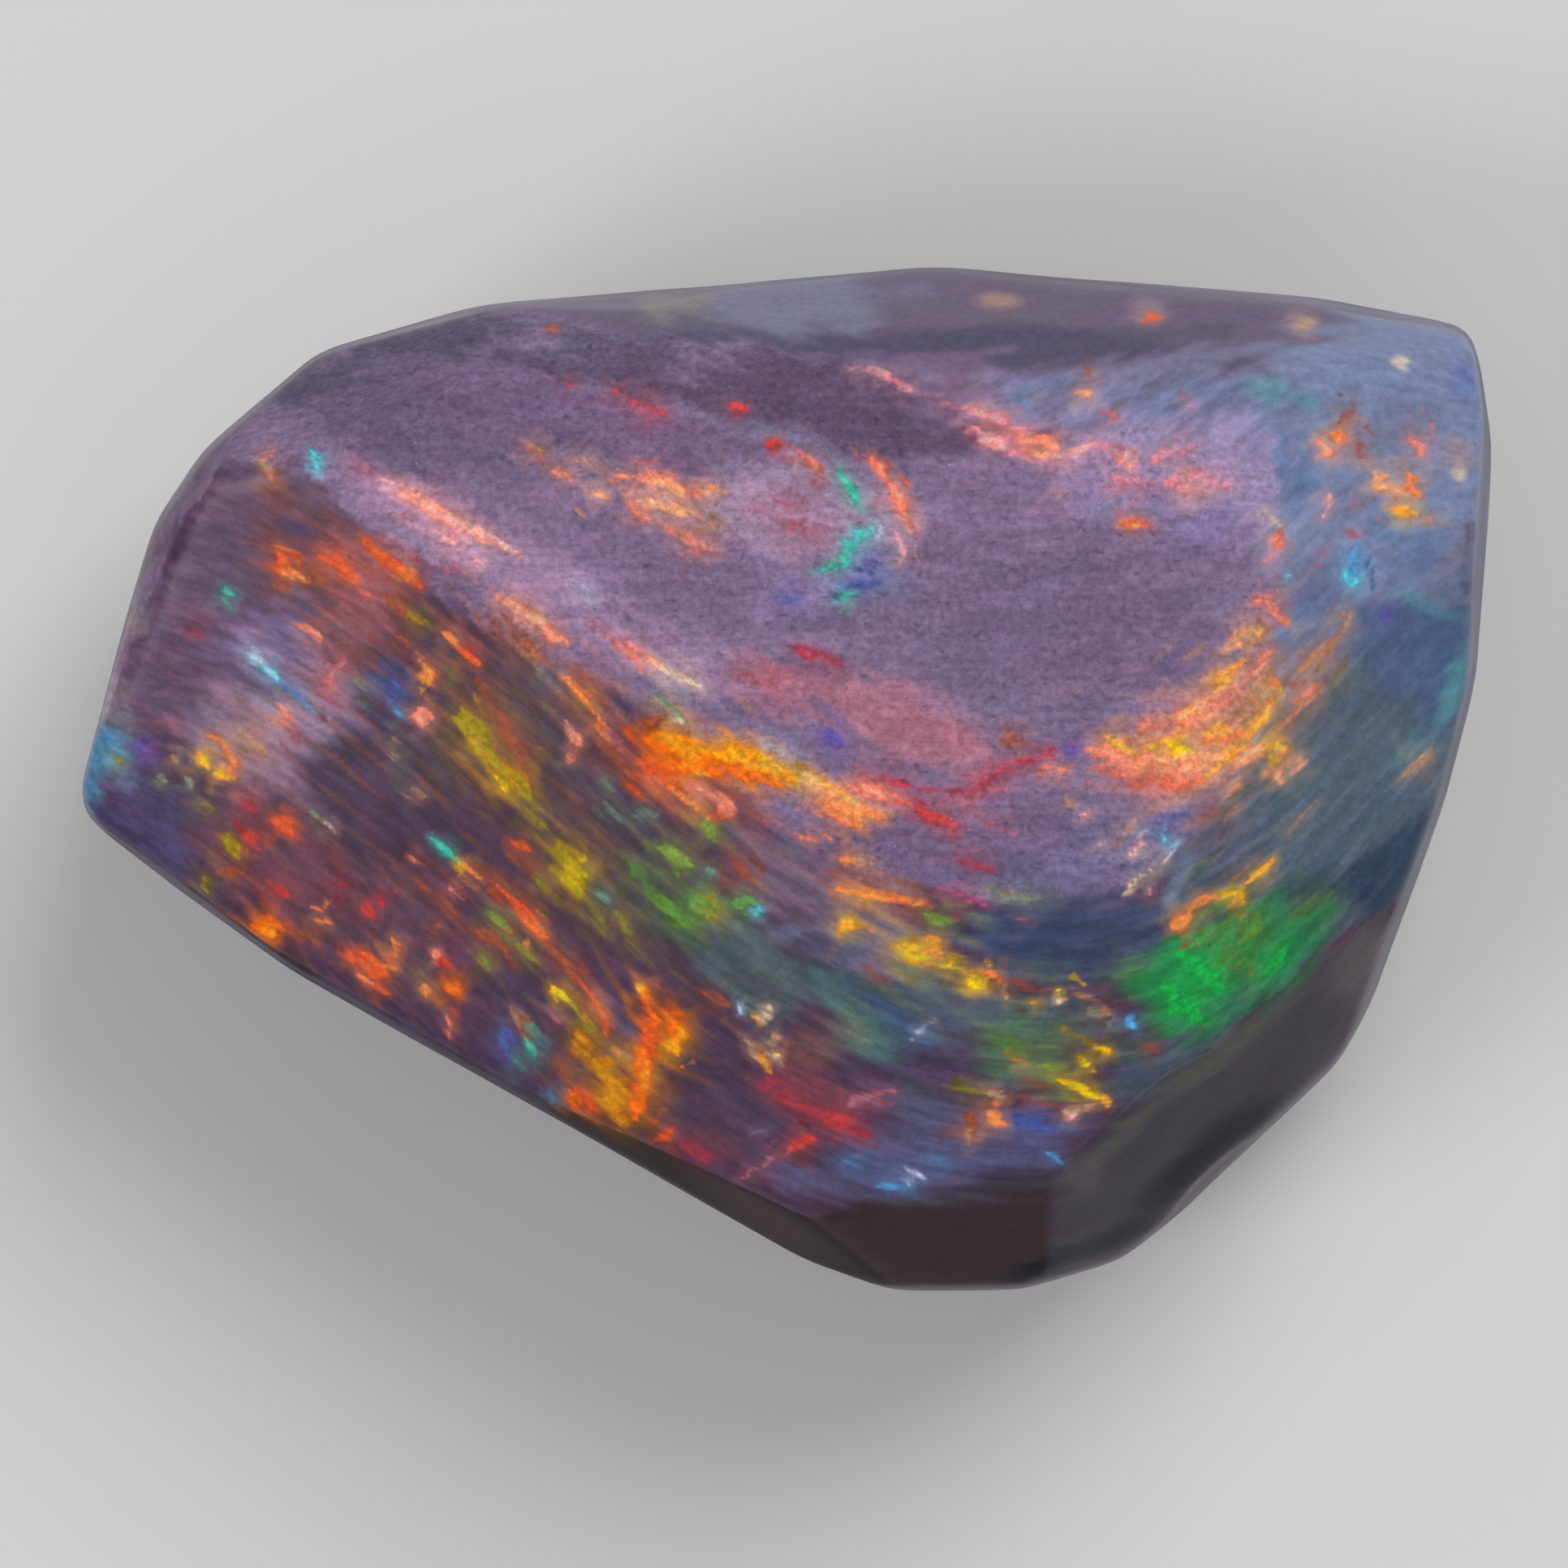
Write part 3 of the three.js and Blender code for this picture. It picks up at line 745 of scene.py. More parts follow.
# these run across the edge of the frosted ground
ACROSS_AREAS = """
slate_blue 0.95 0.2 3 6.2 7 6.3 7.9 6.2 7.7 5.4 7.2 4.9 6.5 5.4 5.3 5.2 4.1 5.2 3 5.7
tip 0.95 0.3 1.1 -1 2.2 -0.9 3.2 -0.7 4.5 -0.5 5.9 -0.3 6.1 -0.8 5.3 -1.5 4 -1.8 2.8 -1.7
     1.6 -1.6
mauve_band 0.7 0.3 2.6 -0.2 3.6 0 4.3 -0.3 4 -1 3.1 -0.8
plum_shade 0.5 0.2 -0.3 -0.8 0.6 -0.9 1.4 -1.3 1.1 -1.5 0.4 -1.6 -0.4 -1.4
night 0.95 0.2 2.1 -2.2 3.8 -1.9 5.3 -1.7 5.7 -2 5.5 -2.7 4.4 -3 3.3 -2.8 2.6 -2.5
mauve_band 0.85 0.25 -0.8 -0.3 -0.1 -0.5 0.9 -0.6 1.7 -0.5 2.7 -0.8 2.5 -1.5 1.6 -1.4 0.5 -1.2
     -0.3 -0.8
slate_blue 0.8 0.25 0.5 -1.9 1.6 -2.1 2.2 -2.4 1.9 -2.9 1 -2.8 0.4 -2.3
worn_mauve 0.85 0.25 -1.1 -0.6 -0.1 -0.8 0.5 -1.2 1.2 -1.6 1 -2 0.4 -2.1 -0.1 -1.9 -0.8 -1.3
pale_violet 0.85 0.25 3.6 5.6 5.3 5.6 7.2 5.6 7.6 4.9 7.5 3.8 6.5 3.7 5.8 4.4 4.4 4.9 3.4 5.1
"""
FADES_OUTSIDE, FULL_INSIDE = -0.10, 0.14
frost = ramp(depth_inside(pushed, FROST_EDGE), FADES_OUTSIDE, FULL_INSIDE) * top
glaze(frost, "table")
lay_areas(TABLE_AREAS, frost)
lay_areas(ACROSS_AREAS, top)
print("table areas:", len(list(read_list(TABLE_AREAS))), "frosted share:", round(float(frost.mean()), 2))

# %% [markdown]
# Small soft dots are stains, worn corners and sparks that lie too deep to be sharp. Some are painted
# light and shade: a painted shade and a painted rim of light on the lower right bevel, and a pale dot
# on the ridge that is partly a painted highlight. Each is an oval with a soft border, laid over the
# areas.

# %% Small soft dots
# tone, strength, middle, half length, half width and lean in degrees
DOTS = """
tan 0.6 3.25 7.3 0.35 0.15 0
beige 0.6 5.5 7.15 0.35 0.25 0
ember 0.9 5.55 7.05 0.15 0.15 0
beige 0.6 7.85 7 0.3 0.25 0
tan 0.9 7.9 6.95 0.15 0.15 0
cream 0.7 9.35 6.35 0.15 0.15 0
cream 0.7 10.25 4.7 0.15 0.15 0
rust 0.7 -3.55 6.85 0.1 0.1 0
grey_violet 0.6 1.95 7.45 0.35 0.2 0
sea 0.7 7.25 5.9 0.4 0.25 0
sea 0.5 7.85 5.75 0.25 0.15 0
sea 0.6 8.6 7.35 0.5 0.15 0
blue 0.5 10.3 6.05 0.25 0.3 0
tip_blue 1 -10.4 0.45 0.45 0.4 0
tip_blue 0.8 -10.8 0 0.35 0.5 0
violet 0.5 -9.75 0.4 0.25 0.3 0
olive_edge 0.8 -9.9 3.2 0.15 0.55 -15
ash 0.7 -10.05 2.6 0.25 0.25 0
beige 0.6 -9.85 2.4 0.25 0.2 -15
olive 0.4 -10.6 1.1 0.1 0.15 0
sea 0.8 10.15 1.35 0.2 0.75 -20
sea 0.5 9.5 0.4 0.25 0.35 -50
sea 0.5 9.75 2.65 0.75 0.15 -20
rose 0.4 -9.45 0.9 0.25 0.1 0
dim_rust 0.3 -7.7 4.4 0.35 0.25 -30
deep_blue 0.5 -7.4 3.8 0.35 0.15 -20
dusky_violet 0.5 -7.75 2.1 0.5 0.3 -40
dull_green 0.6 -5.85 0.15 0.2 0.5 0
olive 0.4 -5.05 1.6 0.15 0.25 0
dim_rust 0.6 -6.5 2 0.15 0.3 30
rose 0.5 -0.1 1.6 0.35 0.15 -10
dusky_violet 0.6 4.4 0.5 0.1 0.15 0
blue 0.4 5.75 -0.6 0.35 0.25 30
violet_mist 0.4 4.55 -1.2 0.85 0.25 10
rose 0.4 5.25 4.4 0.5 0.15 0
crimson_shade 0.6 0.4 -4.8 0.75 0.3 -30
crimson_shade 0.5 -1.1 -5.55 0.5 0.25 -10
crimson_shade 0.4 0.9 -5.4 0.5 0.25 -20
indigo_edge 0.6 -4.3 -4.1 0.25 0.4 0
bluish 0.6 -3.45 -4.8 0.2 0.25 0
dim_rust 0.5 2.6 -5.25 0.35 0.2 30
bevel_olive 0.9 6.6 -4.2 1.35 0.2 38
bevel_olive 0.8 5.1 -5.45 0.85 0.15 42
bevel_rose 0.95 9 -2.85 0.75 0.75 60
bevel_rose 0.7 4.5 -5.95 0.35 0.35 0
bevel_dark 0.95 6.55 -5.75 1.5 0.35 36
bevel_dark 0.9 4.55 -7.3 1.35 0.25 22
bevel_rim 0.4 7.9 -5.4 1 0.1 42
front_brown 0.5 3.35 -6.1 0.5 0.2 0
blush 0.45 1.85 3.9 0.25 0.25 0
hook_blue 0.6 1.15 3.3 0.2 0.15 0
slate_blue 0.6 0 -2.3 0.3 0.15 10
bluish 0.5 1.55 -5.3 0.35 0.2 0
slate_shade 0.95 3.85 -2.85 0.55 0.2 0
beige 0.4 3.85 -4.9 0.3 0.15 10
beige 0.4 2.5 -1.85 0.25 0.15 0
beige 0.6 8.55 5.45 0.3 0.15 0
beige 0.6 10.25 4.95 0.3 0.3 0
violet_mist 0.9 6.35 3.75 0.55 0.35 0
rose_brown 0.8 -8.25 -0.25 0.35 0.3 0
indigo_edge 0.7 -2.6 -3.5 0.1 0.4 15
hook_blue 0.5 -10.15 0 0.25 0.2 0
deep_steel 0.8 7.5 4.85 0.15 0.55 0
grey_violet 0.7 10.1 2.75 0.5 0.15 0
plum 0.5 -4.95 2.7 0.3 0.15 -50
beige 0.4 8.15 1.75 0.25 0.2 -60
worn_mauve 0.5 -7.25 4.15 0.3 0.25 0
ridge 0.5 -7.05 4.55 0.2 0.15 0
deep_teal 1 9.7 -1 0.55 0.25 50
dark_brown 0.45 -0.3 -6.75 1.35 0.35 -32
hook_blue 0.5 10.2 5.95 0.3 0.3 0
thin_edge 0.6 -3.6 -5.2 0.3 0.1 -30
dull_green 0.7 5.1 -3.9 0.3 0.25 0
pink_lilac 0.6 1.7 3.75 0.2 0.15 0
soot 0.6 -5.5 3.2 0.25 0.1 -50
"""
for tone, (strength, x, y, half_length, half_width, lean) in read_list(DOTS):
    dot = ramp(oval(slightly_pushed, (x, y), half_length, half_width, lean), 0.15, 0.85)
    glaze(dot * top, tone, strength)
print("dots:", len(list(read_list(DOTS))))

# %% [markdown]
# ## Soft walls
#
# The tones are laid from above, so on a steep wall they would run down as straight stripes. On a
# real rub the wall under the rim is dull and clouded. Here each wall takes the mean tone of the
# rim above it, blurred round the stone, greyed and stirred by slow clouds.

# %% Walls below the rim
SECTORS = 36
# how little a face looks up to count as a wall, and how softly that starts
STEEPEST, STEEP_BLUR = 0.24, 0.14
# in mm below the rim: where the wall's own tone starts, where it is full and how it wanders
CLEAR_OF_RIM, FULLY_DOWN, WANDER = 0.1, 0.9, 0.20
# the band in mm that gives the rim's tone, and how much of that tone the wall takes
RIM_BAND, RIM_SHARE = 0.7, 0.6
CLOUD_DEPTH = 0.12
NO_RIM_HEIGHT = 4
wall_random = np.random.default_rng(21)


def slow_clouds(length, count=14):
    total = np.zeros(len(places))
    for _ in range(count):
        heading = wall_random.normal(size=3)
        heading *= 2 * math.pi / (np.linalg.norm(heading) * length * wall_random.uniform(0.7, 1.4))
        total += np.sin(places @ heading + wall_random.uniform(0, 2 * math.pi))
    return total / math.sqrt(count)


centre = places.mean(axis=0)
around = np.degrees(np.arctan2(places[:, 1] - centre[1], places[:, 0] - centre[0])) % 360
sector = (around * SECTORS / 360).astype(int) % SECTORS
steep = ramp(STEEPEST - looks[:, 2], 0, STEEP_BLUR)
in_sector = [(steep > 0.5) & (top > 0.5) & (sector == number) for number in range(SECTORS)]
rim_height = np.array([places[chosen, 2].max(initial=NO_RIM_HEIGHT) for chosen in in_sector])
rim_tone = np.tile(colour("wall"), (SECTORS, 1))
for number, chosen in enumerate(in_sector):
    chosen = chosen & (places[:, 2] > rim_height[number] - RIM_BAND)
    if chosen.any():
        rim_tone[number] = body[chosen].mean(axis=0)
rim_tone = sum(np.roll(rim_tone, shift, axis=0) for shift in range(-2, 3)) / 5
headings = (np.arange(SECTORS) + 0.5) * 360 / SECTORS
wall_tone = [np.interp(around, headings, channel, period=360) for channel in rim_tone.T]
wall_tone = RIM_SHARE * np.column_stack(wall_tone) + (1 - RIM_SHARE) * colour("wall")
wall_tone *= (1 + CLOUD_DEPTH * slow_clouds(2.2))[:, None]
below_rim = np.interp(around, headings, rim_height, period=360) - places[:, 2]
lower_wall = ramp(below_rim + WANDER * slow_clouds(1.6), CLEAR_OF_RIM, FULLY_DOWN)
lower_wall = steep * np.maximum(lower_wall, ramp(-looks[:, 2], 0.02, 0.15))
body = body * (1 - lower_wall)[:, None] + wall_tone * lower_wall[:, None]
frost *= 1 - lower_wall
print("rim heights:", round(float(rim_height.min()), 1), "to", round(float(rim_height.max()), 1), "mm")

# %% [markdown]
# What is left is the foot of the walls, where they turn under, and the potch. One tone over each
# is enough, because potch has no colour of its own.

# %% The foot of the walls and the potch
wall_foot = (1 - top) * ramp(places[:, 2], 2.5, 4.0) * ramp(looks[:, 2], -0.35, -0.1)
glaze(wall_foot, "wall", 0.85)
glaze(wall_foot * ramp(-looks[:, 1], 0.4, 0.8), "front_brown", 0.7)
glaze(potch, "potch", 0.9)
# the brown bevels in front are ground into potch, so they are nearly as dull as the base
DULL_BEVELS = [(THIN_FRONT_EDGE, 14, 0.6), (FRONT_BEVEL, 13, 0.5), (FRONT_CORNER, 10, 0.5)]
dull = potch
for face, within, dullness in DULL_BEVELS:
    dull = np.maximum(dull, dullness * looking(looks, *face, within))
print("vertices at the foot of the walls:", int((wall_foot > 0.5).sum()))

# %% [markdown]
# ## Flashes
#
# A flash is a thin sheet of pure colour seen edge on, so from above it is a short streak. Each one
# here is a line of a few points with a hue, a strength and a half width, and the surface keeps how
# near it is to a flash. The material later cuts that soft nearness into ragged fibres. Painting
# the finished streaks would need a far finer mesh.

# %% The flashes, by area
# hue, strength, half width, then the points it runs through, x and y, all in mm
FLASHES = """
# along the ridge of the table
cyan 0.7 0.04 -7.15 4.9 -7 4.65
cyan 0.7 0.04 -7.15 4.9 -7 4.65
rose 0.6 0.1 -6.65 4.8 -6.1 4.55
blush 0.75 0.09 -6.1 4.5 -5.65 4.35 -5.25 4.05 -4.85 3.8 -4.5 3.65 -4 3.4
salmon 0.6 0.14 -5.85 4.4 -5.25 4.05 -4.5 3.6
blush 0.5 0.12 -5.25 3.7 -5 3.55
blush 0.5 0.11 -4.8 3.35 -4.5 3.2
rose 0.5 0.11 -5.35 3.2 -4.8 3.15
ice 0.5 0.07 -3.15 3 -2.85 2.7
lilac 0.5 0.11 -2.75 2.7 -2.45 2.5
salmon 1 0.11 -4.35 2.75 -4 2.55 -3.6 2.3
cream 0.8 0.06 -4.2 2.7 -3.9 2.5 -3.6 2.35
salmon 0.8 0.1 -3.65 2.3 -3.35 2.1
rose 0.6 0.1 -2.9 2.35 -2.4 2
salmon 0.8 0.11 -2.5 2.05 -1.95 1.75
cream 0.8 0.09 -2.05 1.8 -1.6 1.55 -1.25 1.4
sage 0.7 0.1 -2 1.25 -1.75 1.1 -1.5 0.9
cream 0.7 0.07 -1.75 0.95 -1.6 0.85
# upper left of the table
salmon 0.7 0.1 -1.55 4.35 -1.2 4.25
red 0.5 0.1 -2.65 5.9 -2.5 5.75
red 0.8 0.1 -2.35 5.7 -2.05 5.6 -1.8 5.5
red 0.4 0.09 -3.35 6 -3.2 5.95
red 0.7 0.07 -0.85 5.65 -0.6 5.55
red 1 0.07 -0.25 5.1 -0.05 5
salmon 0.7 0.06 0 5 0.3 4.85 0.55 4.6
rose 0.6 0.1 0.4 4.6 0.5 4.4
tan 0.6 0.09 -3.9 5.1 -3.6 4.9
rust 0.5 0.11 -4 5.05 -3.65 4.85
salmon 0.7 0.09 -3.5 4.7 -3.2 4.5
tan 0.5 0.11 -3.3 4.9 -2.55 4.65
apricot 0.9 0.07 -3 4.35 -2.7 4.25
salmon 0.8 0.1 -2.6 4.55 -2.05 4.55 -1.55 4.4
apricot 1 0.06 -2.05 4.5 -1.55 4.3
apricot 0.9 0.09 -2.3 4.25 -1.8 4.1 -1.3 4
apricot 0.9 0.07 -1.35 4.4 -0.95 4.35
salmon 0.7 0.11 -2.4 4.2 -2.05 3.9
tan 0.5 0.15 -1.45 3.8 -0.9 3.85
salmon 0.8 0.1 -1.8 3.8 -1.45 3.6 -1.05 3.4
rose 0.5 0.1 -1.45 3.55 -1.1 3.4
rose 0.45 0.17 -0.6 4.15 -0.1 3.9 0.7 3.75
rose 0.4 0.15 -0.25 4.25 0.4 4.1
rose 0.4 0.12 -0.1 3.75 0.5 3.6
# green hook and its orange neighbour
cyan 0.8 0.06 1.25 3.8 1 3.6
teal 0.8 0.06 0.75 4.7 1 4.35 1.2 4
teal 1 0.06 1.3 3.8 1.05 3.55 0.85 3.3 0.5 3.15
cyan 0.7 0.04 1.1 3.75 0.85 3.45
teal 1 0.06 0.75 2.75 1.05 2.8
blue 0.9 0.07 0.85 2.9 1.4 3
blue 0.6 0.09 -0.15 2.75 0.25 2.7
violet 0.6 0.06 1.1 3.15 1.5 3.4
coral 1 0.05 1.3 4.95 1.35 4.75 1.5 4.45
salmon 1 0.06 1.45 4.75 1.6 4.4 1.8 4.05 1.85 3.8
salmon 1 0.04 1.6 4.45 1.75 4.1
ice 0.7 0.06 1.5 3.95 1.35 3.6
blush 0.7 0.07 1.65 3.75 1.75 3.3
# back right of the table
pink 0.5 0.1 1.45 6.1 2 5.85
blush 0.4 0.09 0.95 6.2 1.5 6.1
sage 0.4 0.07 2.65 5.95 2.85 5.8
pink 0.5 0.07 2.2 5.75 2.6 5.55
pink 0.9 0.1 2.75 5.55 3.2 5.45 3.65 5.2
pink 0.8 0.06 2.6 5.4 3 5.15 3.6 4.95
apricot 0.6 0.05 2.9 5.6 3.2 5.4
apricot 0.5 0.04 3 5.15 3.15 5.05
salmon 0.8 0.09 3.3 5.15 4.05 5.05
salmon 0.9 0.07 3.6 4.95 4.2 4.9
blush 0.8 0.09 3.95 4.85 4.55 5
pink 0.6 0.11 4.55 5.15 4.95 4.9
salmon 1 0.07 5 4.9 5.25 4.75
blush 0.8 0.05 5.1 4.95 5.2 4.75
pink 0.6 0.15 4.9 4.6 5.3 4.45
pink 0.6 0.11 5.5 4.9 6.15 5.05
pink 0.8 0.16 5.75 4.4 6.35 4.55
apricot 0.5 0.1 5.9 4.35 6.35 4.4
pink 0.6 0.1 6.35 4.55 6.75 4.4
apricot 0.7 0.1 4.4 5.9 4.6 5.75
rust 0.5 0.07 4.55 6.2 4.6 6
coral 0.6 0.09 4.8 5.6 5 5.45
pink 0.5 0.06 6 5.7 6.2 5.65
coral 1 0.07 5 3.95 5.25 3.9 5.5 3.85
amber 0.6 0.04 5.15 3.9 5.3 3.85
blush 0.6 0.1 4.05 4.4 4.15 4.25
cream 0.5 0.09 7.25 4.05 7.4 3.85
coral 0.8 0.1 7.3 3.6 7.5 3.55
blush 0.8 0.05 7.3 3.6 7.4 3.55
pink 0.6 0.1 7.15 3.3 7.4 3.4
cyan 0.6 0.07 7.5 3.1 7.55 3
# the fire at the right of the table
amber 0.9 0.1 7.25 0.5 7.5 0.45
salmon 0.6 0.17 7.3 1.9 7 1.55
coral 0.9 0.16 5.15 0.35 5.75 0.2 6.2 0.3
orange 0.85 0.16 6.3 0.55 6.85 0.75
salmon 0.7 0.17 6.35 1.1 6.8 1.4
tan 0.6 0.11 7 2.1 7.2 2.3
old_gold 0.7 0.15 7.15 0.35 7.65 0.45
old_gold 0.6 0.12 7.25 0.05 7.6 0.3
salmon 0.88 0.1 7.1 2.75 7.3 2.6 7.5 2.4
coral 0.62 0.07 7.05 2.7 7.25 2.75
amber 0.5 0.11 6.75 2.2 7.05 2.25
amber 0.7 0.06 7.1 2.25 7.2 2.2
apricot 0.7 0.1 6.85 2 6.7 2.25
amber 0.7 0.1 6.85 1.8 6.6 1.55 6.45 1.3
amber 0.56 0.06 6.6 1.6 6.5 1.35
apricot 0.79 0.12 6.5 1.35 6.15 1.05 5.9 0.95
amber 0.79 0.09 6 1.05 6.2 1
amber 0.7 0.05 5.95 0.95 6.05 0.85
old_gold 0.85 0.3 7.25 1.65 7.05 1.15 6.75 0.8
salmon 0.7 0.25 6.25 1.1 5.75 0.7
apricot 0.84 0.25 5.25 0.3 5.9 0.2 6.5 0.4
coral 0.7 0.16 4.9 0.1 5.65 -0.05 6.3 0.05
salmon 0.7 0.16 5.3 0.8 5.65 0.85
salmon 0.79 0.2 4.6 0.45 5.25 0.25
yellow 0.88 0.15 5.8 0.5 6.05 0.45
amber 0.79 0.09 5.35 0.45 5.75 0.55
amber 0.7 0.1 4.75 0.65 5.15 0.5
amber 0.7 0.12 6.35 0.7 6.6 0.8
yellow 0.88 0.1 7.3 0.55 7.45 0.55
amber 0.79 0.07 6.35 0.05 6.85 0.5 7.2 0.95 7.45 1.35
apricot 0.7 0.09 6.5 -0.05 7.05 0.4 7.4 0.6
salmon 0.7 0.07 7.7 1.2 8 1.5
old_gold 0.7 0.11 7.45 0.7 7.75 1.1 8.1 1.4
old_gold 0.79 0.19 7.7 1.65 8.05 1.9 8.3 2.15
tan 0.7 0.1 8.35 2.2 8.5 2.55
olive 0.44 0.1 8.25 1.45 8.45 1.7
apricot 0.7 0.11 7.3 0.15 7.5 -0.05
apricot 0.62 0.1 7.6 0.1 7.8 0.35
tan 0.62 0.07 6.5 -0.3 7 0
tan 0.53 0.06 6.6 -0.6 6.85 -0.35
rust 0.44 0.17 6.2 -0.6 6.55 -0.4
violet 0.62 0.12 4.25 0.55 4.35 0.35
rust 0.53 0.15 3.3 0.75 3.6 0.55
rose 0.44 0.1 3.45 0.3 3.95 0.5
salmon 0.53 0.06 3.7 0.05 3.95 0.1
salmon 0.62 0.06 4 0.1 4.3 0.2
ice 0.35 0.12 5.9 -0.35 6.05 -0.3
tan 0.53 0.07 4.15 -0.25 4.3 -0.4
blush 0.62 0.07 4.6 -0.45 4.45 -0.6
tan 0.62 0.07 5.3 -0.5 4.95 -1
cream 0.44 0.09 4.7 -0.9 4.8 -1.05
ice 0.44 0.07 5.25 -0.85 5.4 -0.75
blush 0.7 0.05 5.2 -1.15 5.4 -0.95
cyan 0.88 0.06 5.65 -0.85 5.75 -0.85
cream 0.88 0.05 5.2 -1.6 5.5 -1.35 5.75 -1.15
ice 0.53 0.05 5.65 -1.25 5.95 -0.95
blush 0.44 0.06 5.4 -1.75 5.5 -1.6
# crimson and rose at the front of the table
crimson 0.7 0.07 1.95 -0.2 2.7 -0.15 3.3 0.15 4.05 0.45
rose 0.6 0.09 2.2 -0.35 2.85 -0.3 3.6 0.15
red 0.6 0.06 1.6 -0.3 2.05 -0.45 2.6 -0.75
crimson 0.7 0.09 0.1 2 0.4 1.85 0.9 1.7
rose 0.5 0.06 0.15 1.95 0.45 1.85
rose 0.7 0.12 -0.8 1.55 -0.2 1.45
violet 0.9 0.15 0.55 0.7 0.8 0.55
crimson 0.7 0.11 1.85 -0.1 1.5 0 1.1 0
red 0.7 0.07 1.95 -0.45 2.4 -0.65 2.55 -0.85
rose 0.7 0.12 2.7 -0.05 3 0.15 3.35 0.2
rose 0.6 0.1 2.6 -0.3 2.85 -0.45
rose 0.5 0.1 2.95 -0.6 3.45 -0.8
crimson 0.7 0.11 2.55 -1.15 3.1 -1.35
rose 0.5 0.11 0.5 -1.4 1.1 -1.45
# the flame in the middle
yellow 0.9 0.07 -1.3 0.4 -0.95 0.35
amber 1 0.07 0.55 -0.1 1.05 -0.35
hot_amber 1 0.11 -1.7 0.45 -1.2 0.35
apricot 0.6 0.09 -0.85 0.35 -0.25 0.2
apricot 0.8 0.12 0.2 0.05 0.5 0
ember 0.9 0.17 -2.2 0.3 -1.65 -0.05
hot_orange 1 0.22 -2.1 0.65 -1.7 0.3 -1.4 0.15
rust 0.8 0.1 -2.35 0.75 -2.05 0.9 -1.8 0.95
hot_orange 1 0.17 -1.55 0.35 -0.8 0.15 -0.1 -0.05
hot_amber 1 0.11 -1.1 0.4 -0.45 0.3 0.15 0
orange 0.9 0.12 0.4 -0.3 1 -0.5 1.5 -0.55
hot_amber 1 0.11 -2 0.65 -1.7 0.6 -1.35 0.55
hot_amber 1 0.09 -1.25 0.45 -0.85 0.4 -0.35 0.35
yellow 1 0.06 -1.6 0.2 -1.3 0.2
gold 0.9 0.1 -0.35 0.25 0.25 0.05 0.65 -0.1
apricot 1 0.07 0.4 -0.05 1 -0.35 1.5 -0.5
salmon 0.9 0.09 0.85 -0.05 1.4 -0.2 1.75 -0.3
orange 0.9 0.09 0.6 -0.45 1.15 -0.65
ice 0.4 0.1 -0.35 0.55 0.15 0.35
salmon 0.5 0.07 -2.15 0.1 -1.8 -0.1
orange 0.9 0.1 -1.8 -0.1 -1.45 -0.35 -1.2 -0.6
amber 0.9 0.06 -1.5 -0.3 -1.2 -0.55
lime 0.7 0.11 -1.25 -0.65 -1 -0.9
salmon 0.7 0.1 -1.35 -0.15 -0.95 -0.3 -0.8 -0.5
salmon 0.8 0.06 -1.45 -0.05 -1.2 -0.2
ember 0.6 0.09 -1.15 -0.5 -0.9 -0.55
rust 0.6 0.11 -0.6 -0.5 -0.2 -0.6
salmon 0.8 0.09 0.25 -0.85 0.45 -0.85
rust 0.8 0.12 -0.9 -1 -0.65 -1.35 -0.45 -1.55
# where the table ends in front
tan 0.7 0.11 1 -1.2 1.35 -1.25
rose 0.7 0.1 -0.55 -0.55 -0.2 -0.7
tan 0.5 0.14 1.15 -2.25 1.6 -2.35
orange 1 0.11 0.8 -1.2 1 -1.2
orange 1 0.11 0.75 -1.65 1.25 -1.7 1.75 -1.8 2.05 -1.9
amber 0.8 0.05 0.85 -1.7 1.5 -1.8
amber 0.9 0.15 0.8 -2.15 1 -2.25
yellow 0.8 0.06 0.85 -2.15 0.95 -2.25
magenta 0.9 0.07 2.3 -1.65 2.65 -1.75 3.1 -1.9
rose 0.6 0.06 3.4 -2.05 3.75 -2.15
sage 0.5 0.09 3 -1.65 3.6 -1.8 4.1 -1.85
lime 0.9 0.11 2.15 -2.05 2.5 -2.15
mint 0.6 0.09 2.8 -2.05 3.1 -2.15
# front window
gold 0.9 0.17 1.65 -2.5 1.95 -2.6 2.3 -2.75
yellow 1 0.1 1.75 -2.45 1.9 -2.65 2.1 -2.65
amber 0.8 0.09 2.15 -2.35 2.35 -2.6
gold 1 0.09 2.3 -2.8 2.7 -2.9 3 -3.1
yellow 1 0.09 2.7 -3 3 -3.15
yellow 0.8 0.06 2.4 -2.75 2.6 -2.85
orange 0.9 0.11 3.05 -2.85 3.2 -3
tan 0.7 0.06 3.25 -3.05 3.35 -3.35
mint 0.5 0.11 1.65 -2.85 2 -2.95 2.3 -3.1
rust 0.4 0.12 1.2 -2.8 1.5 -3
rust 0.6 0.1 3.35 -3 3.8 -3.2
tan 0.6 0.06 3.9 -3.1 4.15 -3.3
yellow 1 0.06 4.1 -3.15 4.15 -3.2
cream 1 0.05 4.05 -3.3 4.1 -3.35
gold 1 0.06 3.7 -3.35 3.85 -3.4
tan 0.5 0.1 4.3 -3.15 4.65 -3.35 5 -3.6
sage 0.5 0.06 4.5 -3.4 4.95 -3.75
olive 0.8 0.05 4.1 -3.7 4.45 -3.9 4.7 -4.05
yellow 0.8 0.06 4.65 -4.05 4.95 -4.15
olive 0.7 0.06 4.35 -4.15 4.65 -4.35
yellow 0.9 0.05 4.45 -4.2 4.6 -4.3
gold 0.8 0.07 3.4 -4.2 3.65 -4.3
yellow 1 0.09 4.1 -4.55 4.45 -4.65 4.7 -4.8
amber 0.6 0.06 4.7 -4.75 4.9 -4.95
rust 0.6 0.1 3.6 -4.55 3.95 -4.65
tan 0.7 0.06 4.15 -5.05 4.65 -4.95
rust 0.5 0.07 3.55 -4.8 4.1 -4.95
